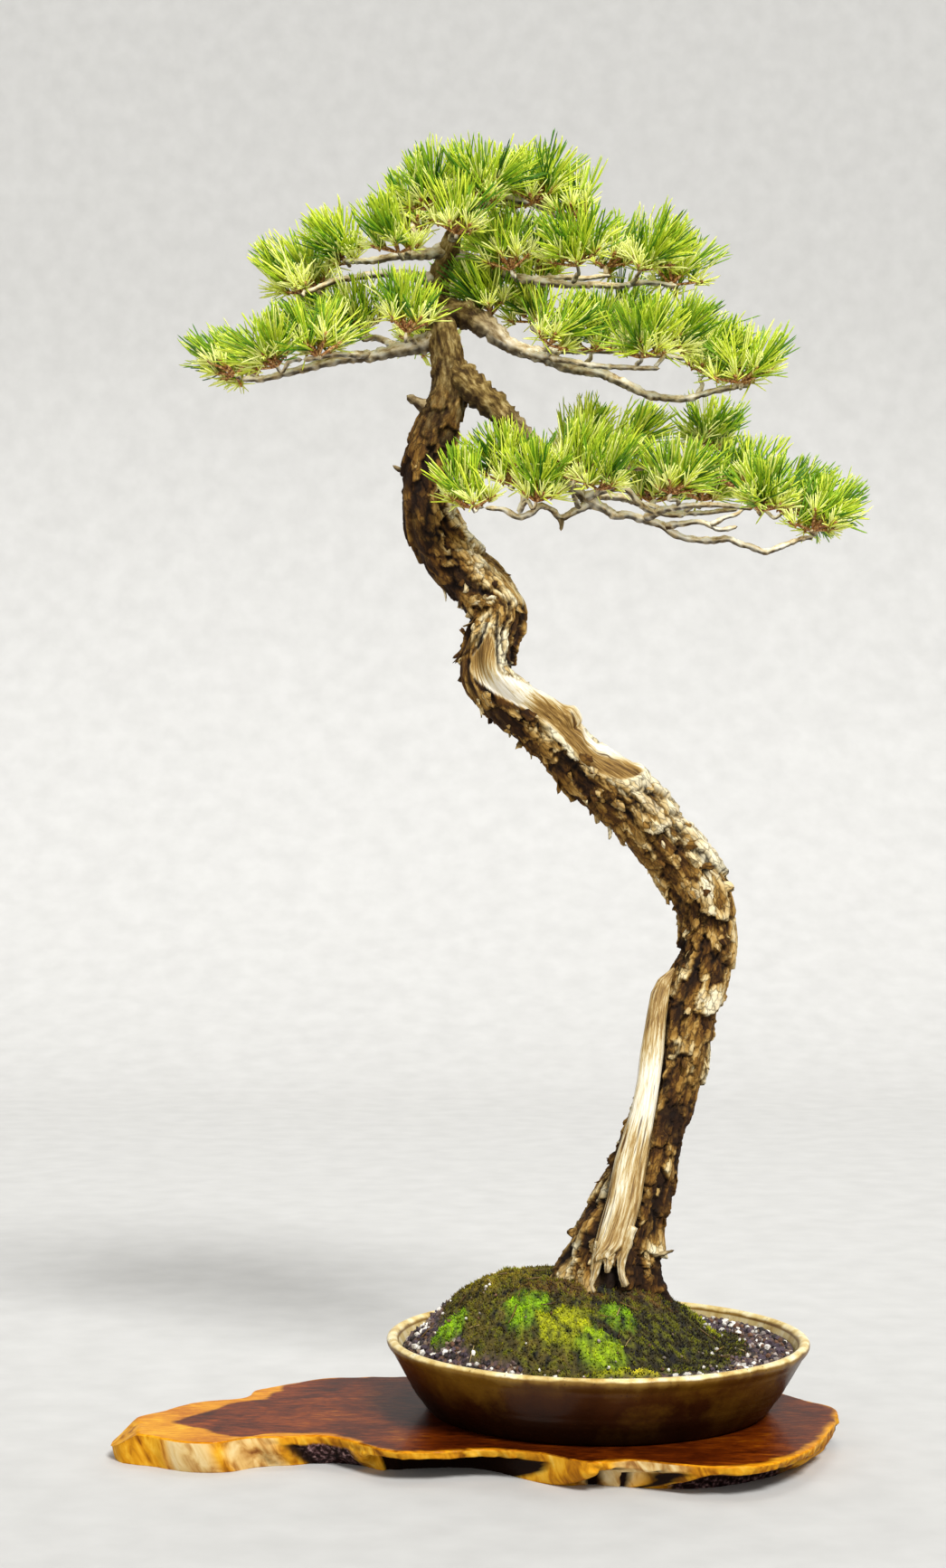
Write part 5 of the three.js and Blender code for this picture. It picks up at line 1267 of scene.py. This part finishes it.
limbs = []
for number, rows in enumerate(BRANCHES.values()):
    around = 20 if rows[0][3] > 5 else 14
    limbs.append(limb("branch", rows, around, 1.7, number, wiggle=1.3))
for number, rows in enumerate(SNAGS):
    limbs.append(limb("snag", rows, 12, 1.6, 40 + number, wiggle=0.4, bleach=0.15))


def corners_of(node_name):
    """The merged corners and triangles of a spray's solid, in mm."""
    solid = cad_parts[node_name].data
    flat = np.empty(3 * len(solid.vertices))
    solid.vertices.foreach_get("co", flat)
    places, which = np.unique(np.round(flat.reshape(-1, 3) / MM, 3), axis=0, return_inverse=True)
    solid.calc_loop_triangles()
    faces = np.array([triangle.vertices for triangle in solid.loop_triangles])
    return places, which.ravel()[faces]


def read_spray(node_name):
    """The needle tips and roots of a spray, and the corners and faces of its slim core."""
    places, faces = corners_of(node_name)
    links = [set() for _ in places]
    for a, b, c in faces:
        links[a] |= {b, c}
        links[b] |= {a, c}
        links[c] |= {a, b}
    tips, roots = [], []
    for index, near in enumerate(links):
        apart = np.linalg.norm(places[list(near)] - places[index], axis=1)
        if len(near) == 3 and apart.min() > 14:
            tips.append(index)
            roots.append(list(near))
    core = [face for face in faces if not set(face) & set(tips)] + roots
    return places, tips, roots, np.array(core)


SPRAY_NAMES = sorted(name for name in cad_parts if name.startswith("needles_"))
sprays = {name: read_spray(name) for name in SPRAY_NAMES}
branch_lines = [smooth_line(rows, 51) for rows in BRANCHES.values()]


def spray_foot(name):
    """Where a spray stands on its twig, and the way its shoots point."""
    places, tips, roots, core = sprays[name]
    axis = (places[tips] - places[[root[0] for root in roots]]).mean(axis=0)
    axis /= np.linalg.norm(axis)
    inner = places[np.unique(core)]
    level = inner @ axis
    return inner[level < level.min() + 1.2].mean(axis=0), axis


def twig_rows(foot, axis):
    """A twig from its branch to a spray: it leaves along the branch's growth and turns up."""
    best = None
    for line in branch_lines:
        ahead = np.gradient(line[:, :3], axis=0)
        ahead /= np.linalg.norm(ahead, axis=1, keepdims=True)
        for k in range(6, 51, 2):
            towards = foot - line[k, :3]
            distance = np.linalg.norm(towards)
            growth = ahead[k] + [0, 0, 0.8]
            growth /= np.linalg.norm(growth)
            score = distance * (1.7 - 0.7 * towards @ growth / distance)
            if best is None or score < best[0]:
                best = (score, line[k, :3], distance, growth, line[k, 3])
    _, start, distance, growth, radius = best
    shoulder = start + 0.4 * (foot - start) + 0.1 * distance * growth
    neck = foot - axis * min(5, 0.3 * distance)
    thick = min(0.7 * radius, 1.9)
    return [(*start, thick), (*shoulder, max(1.5, 0.85 * thick)), (*neck, 1.4), (*(foot + 1.5 * axis), 1.2)]


for number, name in enumerate(SPRAY_NAMES):
    rows = twig_rows(*spray_foot(name))
    limbs.append(limb("twig", rows, 9, 2.0, 50 + number, wiggle=0.9))
branches = joined(limbs, "branches_and_twigs")
branches.data.materials.append(pine_bark)
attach(branches, "root")
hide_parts("pine_wood")

# The needles: soft green needles 20 to 38 mm long, in bundles of three held by papery brown
# sheaths, and short fresh ones that crowd round the orange-brown buds. They make flat pads of
# foliage. Each spray of the solids stands for two main shoots and the side shoots round them.
SIDE_SHOOTS = 6
BUNDLES_FOR_ONE = 2  # bundles on the main shoots for each needle of the solids
BUNDLES_ON_SIDE_SHOOT = 4
NEEDLES_IN_BUNDLE = 3
SIDE_SHOOT_REACH = (8, 17)
SHORT_NEEDLES = 22  # round each bud
SHORT_LENGTHS = (9, 17)
NEEDLE_HALF_WIDTH = 0.55
LONGEST_NEEDLE = 37
# The dark bundles are painted shade: they stand for needles shaded inside the pads.
SHORTER_SHARE, DARK_SHARE = 0.25, 0.26  # of the bundles, by length and by colour
BUD_RADIUS, BUD_HALF_LENGTH = 1.25, 3.4
LONG_RINGS = [(0.0, 0.75), (0.2, 0.8), (0.6, 1.0), (0.94, 0.8)]  # share of length, of half width
SHORT_RINGS = [(0.0, 0.8), (0.3, 1.0), (0.9, 0.8)]
PADS = ["low_right", "mid_right", "top_right", "crown", "mid_left", "low_left", "back"]
# The deepest tone stands for shaded needles and the palest for lit tips: painted shade and painted
# highlight.
NEEDLE_TONES = ["12340c", "407a10", "8ab41e", "bcd42c", "e6f048", "fcffa0"]
SHEATH_TONES = ["7a3d14", "b36a24"]
TONE_STEPS = np.linspace(0, 1, len(NEEDLE_TONES))
TONE_VALUES = np.array([srgb(value) for value in NEEDLE_TONES])
SHEATH_VALUES = np.array([srgb(value) for value in SHEATH_TONES])


def needle_pattern(rings):
    """One three-sided pointed needle of unit length and half width, with its shares of length."""
    bpy.ops.object.select_all(action="DESELECT")
    bpy.ops.mesh.primitive_cone_add(vertices=3, radius1=1, radius2=0, depth=1, location=(0, 0, 0))
    bpy.ops.object.mode_set(mode="EDIT")
    for share, _ in rings[1:]:
        bpy.ops.mesh.select_all(action="SELECT")
        bpy.ops.mesh.bisect(plane_co=(0, 0, share - 0.5), plane_no=(0, 0, 1))
    bpy.ops.object.mode_set(mode="OBJECT")
    corners, faces = pattern_of(bpy.context.object)
    shares = corners[:, 2] + 0.5
    across = np.linalg.norm(corners[:, :2], axis=1)
    corners[:, :2] *= (np.interp(shares, *zip(*rings, (1.0, 0.0))) / np.maximum(across, 1e-6))[:, None]
    return corners, faces, shares


# Pine needles: smooth and waxy, so they catch a soft sheen, in greens from deep to yellow.
needle_green = new_material("pine_needle_green")
tint = node(needle_green, "Attribute", attribute_name="tint").outputs["Color"]
place = node(needle_green, "TexCoord").outputs["Object"]
fleck = node(needle_green, "TexNoise", {"Vector": place, "Scale": 260, "Detail": 3})
flecked = node(needle_green, "MapRange", {0: fleck, 1: 0.3, 2: 0.7, 3: 0.82, 4: 1.18})
green = node(needle_green, "VectorMath", {0: tint, 1: flecked}, operation="MULTIPLY")
shader = node(needle_green, "BsdfPrincipled", {
    "Base Color": green, "Roughness": 0.45, "Specular IOR Level": 0.3})
node(needle_green, "OutputMaterial", {0: shader})

# Shoots and buds: brown scaly bark with orange-brown papery scales.
scaly = new_material("papery_bud_scales")
place = node(scaly, "TexCoord").outputs["Object"]
flaky = node(scaly, "TexVoronoi", {"Vector": place, "Scale": 900})
rough = node(scaly, "TexNoise", {"Vector": place, "Scale": 500, "Detail": 4})
mixed = node(scaly, "Math", {0: flaky, 1: 0.6, 2: rough}, operation="MULTIPLY_ADD")
scale_tone = node(scaly, "ValToRGB", {0: mixed}, stops=[
    (0.45, "2e180a"), (0.65, "6e3e18"), (0.85, "a86c2e"), (1.0, "d8b070")])
bump = node(scaly, "Bump", {"Strength": 0.7, "Distance": 0.0006, "Height": mixed})
shader = node(scaly, "BsdfPrincipled", {"Base Color": scale_tone, "Roughness": 0.7, "Normal": bump})
node(scaly, "OutputMaterial", {0: shader})

long_needle, short_needle = needle_pattern(LONG_RINGS), needle_pattern(SHORT_RINGS)
bpy.ops.object.select_all(action="DESELECT")
bpy.ops.mesh.primitive_uv_sphere_add(segments=7, ring_count=5, radius=1)
bud_corners, bud_faces = pattern_of(bpy.context.object)


def unit(vectors):
    """The same directions, each one long."""
    return vectors / np.linalg.norm(vectors, axis=-1, keepdims=True)


def shoots_of(name, rng):
    """The foot and end of each shoot of a spray: its two main ones, whose ends are the core's
    furthest corners to two sides, and the side shoots that stand round them."""
    places, _, _, core = sprays[name]
    core = places[np.unique(core)]
    foot, axis = spray_foot(name)
    first = core[np.argmax(np.linalg.norm(core - foot, axis=1))]
    aside = core - foot - np.outer((core - foot) @ unit(first - foot), unit(first - foot))
    second = core[np.argmax(np.linalg.norm(aside, axis=1))]
    shoots = [(foot, first), (foot, second)]
    turn = rng.uniform(0, 2 * math.pi)
    right, up = [part[0] for part in turned_about(axis[None])]
    for number in range(SIDE_SHOOTS):
        angle = turn + 2 * math.pi * (number + rng.uniform(-0.3, 0.3)) / SIDE_SHOOTS
        aside = math.cos(angle) * right + math.sin(angle) * up
        aside[2] *= 0.4
        end = foot + rng.uniform(*SIDE_SHOOT_REACH) * aside + rng.uniform(1, 9) * axis
        shoots.append((foot - 0.5 * axis, end))
    return np.array(shoots).transpose(1, 0, 2), axis


def strands(pattern, start, lean, size, light, rng):
    """The corners and colours of needles that start at, lean along and are as long as given."""
    corners, _, shares = pattern
    count = len(start)
    right, up = turned_about(lean)
    spin = rng.uniform(0, 2 * math.pi, count)[:, None]
    right, up = np.cos(spin) * right + np.sin(spin) * up, np.cos(spin) * up - np.sin(spin) * right
    along = shares[None, :, None] * size[:, None, None] - 0.8
    arch = (4 * shares * (1 - shares))[None, :, None]
    bow = rng.normal(0, 0.045, (count, 1, 1)) * size[:, None, None] * arch
    wide = NEEDLE_HALF_WIDTH * rng.uniform(0.8, 1.15, (count, 1, 1))
    points = start[:, None] + along * lean[:, None] + bow * up[:, None]
    points += wide * (corners[None, :, :1] * right[:, None] + corners[None, :, 1:2] * up[:, None])
    light = light[:, None] + 0.16 * (shares[None] - 0.4)
    tint = np.stack([np.interp(light, TONE_STEPS, TONE_VALUES[:, k]) for k in range(4)], axis=2)
    sheath = SHEATH_VALUES[rng.integers(0, len(SHEATH_VALUES), count)][:, None]
    covered = (1 - smooth_step(0.0, 0.2, shares))[None, :, None]
    return points, tint * (1 - covered) + sheath * covered


def long_needles(name, feet, ends, axis, rng):
    """Bundles of long needles, each aimed at or between the tips of the solid's needles."""
    places, tips, roots, _ = sprays[name]
    root = places[np.array(roots)].mean(axis=1)
    aim = unit(places[tips] - root)
    one = np.repeat(np.arange(len(tips)), BUNDLES_FOR_ONE)
    unlike = np.arccos(np.clip(aim @ aim.T, -1, 1)) + 0.12 * np.linalg.norm(root[:, None] - root, axis=2)
    two = np.argsort(unlike, axis=1)[one, rng.integers(0, min(6, len(tips)), len(one))]
    share = rng.uniform(0.4, 1, len(one))[:, None]
    starts = [share * root[one] + (1 - share) * root[two]]
    targets = [share * places[tips][one] + (1 - share) * places[tips][two]]
    for foot, end in zip(feet[2:], ends[2:]):
        outward = unit(0.6 * unit(end - foot) + 0.8 * axis + [0, 0, 0.4])
        nearest = np.argsort(-(aim @ outward))
        chosen = nearest[rng.integers(0, max(3, len(tips) // 2), BUNDLES_ON_SIDE_SHOOT)]
        starts.append(end - rng.uniform(0, 0.5, (BUNDLES_ON_SIDE_SHOOT, 1)) * (end - foot))
        targets.append(places[tips][chosen] + rng.normal(0, 3, (BUNDLES_ON_SIDE_SHOOT, 3)))
    start, run = np.concatenate(starts), np.concatenate(targets) - np.concatenate(starts)
    bundles = len(start)
    size = np.minimum(np.linalg.norm(run, axis=1), LONGEST_NEEDLE)
    size *= np.where(rng.uniform(0, 1, bundles) < SHORTER_SHARE, rng.uniform(0.55, 0.85, bundles), 1)
    lean = unit(unit(run) + [0, 0, 0.12])
    size *= 1 - 0.3 * smooth_step(0.0, -0.6, lean[:, 2])
    dark = rng.uniform(0, 1, bundles) < DARK_SHARE
    light = np.where(dark, rng.uniform(0.05, 0.3, bundles), 0.5 + rng.normal(0, 0.17, bundles))
    start, lean, size, light = [
        np.repeat(part, NEEDLES_IN_BUNDLE, axis=0) for part in (start, lean, size, light)]
    lean = unit(lean + rng.normal(0, 0.1, lean.shape))
    size = size * rng.uniform(0.88, 1.06, len(size))
    # Painted light: needles that point up are made paler.
    light = light + rng.normal(0, 0.05, len(light)) + 0.1 * lean[:, 2]
    return strands(long_needle, start, lean, size, light, rng)


def short_needles(feet, ends, axis, rng):
    """Short, bright needles that crowd round the bud at the end of every shoot."""
    ahead = unit(ends - feet)
    ahead = np.repeat(unit(ahead + 0.7 * axis + [0, 0, 0.35]), SHORT_NEEDLES, axis=0)
    count = len(ahead)
    start = np.repeat(ends, SHORT_NEEDLES, axis=0) - rng.uniform(-1, 3, (count, 1)) * ahead
    lean = unit(ahead + rng.normal(0, 0.5, (count, 3)))
    size = rng.uniform(*SHORT_LENGTHS, count)
    # Painted light: needles that point up are made paler.
    light = 0.86 + rng.normal(0, 0.09, count) + 0.08 * lean[:, 2]
    return strands(short_needle, start, lean, size, light, rng)


for pad in PADS:
    names = [name for name in SPRAY_NAMES if name.startswith(f"needles_{pad}_")]
    long_ones, short_ones, shoots = [], [], []
    for name in names:
        rng = np.random.default_rng(100 + SPRAY_NAMES.index(name))
        (feet, ends), axis = shoots_of(name, rng)
        long_ones.append(long_needles(name, feet, ends, axis, rng))
        short_ones.append(short_needles(feet, ends, axis, rng))
        places, _, _, core = sprays[name]
        used, faces = np.unique(core, return_inverse=True)
        shoots.append(mesh_of("shoot", places[used], faces.reshape(-1, 3)))
        ahead = unit(ends - feet)
        right, up = turned_about(ahead)
        round_it = bud_corners[None, :, :1] * right[:, None] + bud_corners[None, :, 1:2] * up[:, None]
        along = bud_corners[None, :, 2:] * ahead[:, None]
        buds = BUD_RADIUS * round_it + BUD_HALF_LENGTH * along + (ends + ahead)[:, None]
        shoots.append(fused("bud", bud_faces, buds, {}))
        half = 0.56 * (ends - feet)[2:, None] * bud_corners[None, :, 2:]
        stems = 0.9 * round_it[2:] + half + ((ends + feet) / 2)[2:, None]
        shoots.append(fused("side_shoots", bud_faces, stems, {}))
    pieces = []
    for pattern, made in ((long_needle, long_ones), (short_needle, short_ones)):
        points, tints = [np.concatenate(parts) for parts in zip(*made)]
        pieces.append(fused("needles", pattern[1], points, {"tint": tints}))
    needles = joined(pieces, f"needles_{pad}")
    needles.data.materials.append(needle_green)
    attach(needles, "root")
    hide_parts(*names)
    shoots = joined(shoots, f"shoots_{pad}")
    close_up(shoots)
    shoots.data.materials.append(scaly)
    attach(shoots, "root")

# The fallen needles: a few old pine needles, dried to straw, that have dropped from the tree and
# lie loose on the moss and the grit.
FALLEN = 45
FALLEN_REACH = 108
STRAW_TONES = ["4a3318", "70552c", "a08a5a"]
rng = np.random.default_rng(71)
middles = strewn(rng, FALLEN, FALLEN_REACH, 0.12)
heading = rng.uniform(0, 2 * math.pi, FALLEN)
half = rng.uniform(3, 6, FALLEN)[:, None] * np.column_stack([np.cos(heading), np.sin(heading)])
tails, heads = middles - half, middles + half
tails = np.column_stack([tails, ground(*tails.T)[0] + 1.4])
heads = np.column_stack([heads, ground(*heads.T)[0] + 1.6])
size = np.linalg.norm(heads - tails, axis=1)
points, _ = strands(long_needle, tails, unit(heads - tails), size, np.zeros(FALLEN), rng)
straw = np.array([srgb(value) for value in STRAW_TONES])
straw = straw[rng.integers(0, len(STRAW_TONES), FALLEN)]
fallen = fused("fallen_needles", long_needle[1], points,
               {"tint": np.repeat(straw[:, None], points.shape[1], axis=1)})
fallen.data.materials.append(needle_green)
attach(fallen, "root")

# Floor, light and camera: a plain pale sheet that lies flat and sweeps up behind the tree, under
# soft studio light, seen level from the front at the height of the tree's middle.
SWEEP_FROM, SWEEP_RADIUS, SHEET_LENGTH, SHEET_WIDTH = 1.8, 1.2, 11.2, 9  # in metres
bpy.ops.object.select_all(action="DESELECT")
bpy.ops.mesh.primitive_grid_add(x_subdivisions=2, y_subdivisions=160, size=1)
floor = bpy.context.object
floor.name = "floor"
for corner in floor.data.vertices:
    walked = (corner.co.y + 0.5) * SHEET_LENGTH - SHEET_WIDTH / 2
    bend = min(max((walked - SWEEP_FROM) / SWEEP_RADIUS, 0), math.pi / 2)
    rest = max(walked - SWEEP_FROM - SWEEP_RADIUS * math.pi / 2, 0)
    forward = min(walked, SWEEP_FROM) + SWEEP_RADIUS * math.sin(bend)
    corner.co = (corner.co.x * SHEET_WIDTH, forward, SWEEP_RADIUS * (1 - math.cos(bend)) + rest)
bpy.ops.object.shade_smooth()

# Paper: matt and almost even.
paint = new_material("pale_paper_floor")
place = node(paint, "TexCoord").outputs["Object"]
fibre = node(paint, "TexNoise", {"Vector": place, "Scale": 30, "Detail": 6})
tone = node(paint, "ValToRGB", {0: fibre}, stops=[(0.3, "bdbcb9"), (0.7, "c5c4c1")])
shader = node(paint, "BsdfPrincipled", {"Base Color": tone, "Roughness": 0.9})
node(paint, "OutputMaterial", {0: shader})
floor.data.materials.append(paint)

ROOM_STRENGTH = 0.45
world = bpy.context.scene.world or bpy.data.worlds.new("studio")
bpy.context.scene.world = world
world.use_nodes = True
background = world.node_tree.nodes["Background"]
background.inputs["Color"].default_value = srgb("e4e4e2")
background.inputs["Strength"].default_value = ROOM_STRENGTH

# A large soft key from the upper right, far off so that it falls evenly, and two panels near the
# tree that light the undersides and give the wood and the glaze their highlights.
KEY_STRENGTH, KEY_SOFTNESS = 3.6, 0.3
KEY_TILT, KEY_TURN = 44, 24  # degrees
key_light = bpy.data.lights.new("key", "SUN")
key_light.energy, key_light.angle = KEY_STRENGTH, KEY_SOFTNESS
key = added("key", key_light)
key.rotation_euler = (math.radians(KEY_TILT), 0, math.radians(KEY_TURN))
LAMPS = [  # name, place in metres, size in metres, power in watts
    ("fill", (-1.3, -2.3, 0.7), 1.6, 16),
    ("top", (0.2, 0.5, 2.2), 1.2, 14),
]
AIM = (-0.05, 0, 0.42)
for name, spot, size, power in LAMPS:
    lamp = bpy.data.lights.new(name, "AREA")
    lamp.shape, lamp.size, lamp.energy = "DISK", size, power
    holder = added(name, lamp)
    holder.location = spot
    aim = Vector(AIM) - Vector(spot)
    holder.rotation_euler = aim.to_track_quat("-Z", "Y").to_euler()

SENSOR_SIDE = 36  # the sensor's long side in mm
FOCAL_PIXELS, VIEW_PIXELS = 3084, 1734  # the lens and the view's long side in pixels of the photo
EYE_PLACE = (-0.077, -1.727, 0.405)  # in metres
eye = added("camera", bpy.data.cameras.new("camera"))
eye.data.sensor_width = SENSOR_SIDE
eye.data.lens = FOCAL_PIXELS / VIEW_PIXELS * SENSOR_SIDE
eye.location = EYE_PLACE
eye.rotation_euler = (math.pi / 2, 0, 0)
bpy.context.scene.camera = eye
bpy.context.scene.view_settings.view_transform = "Standard"
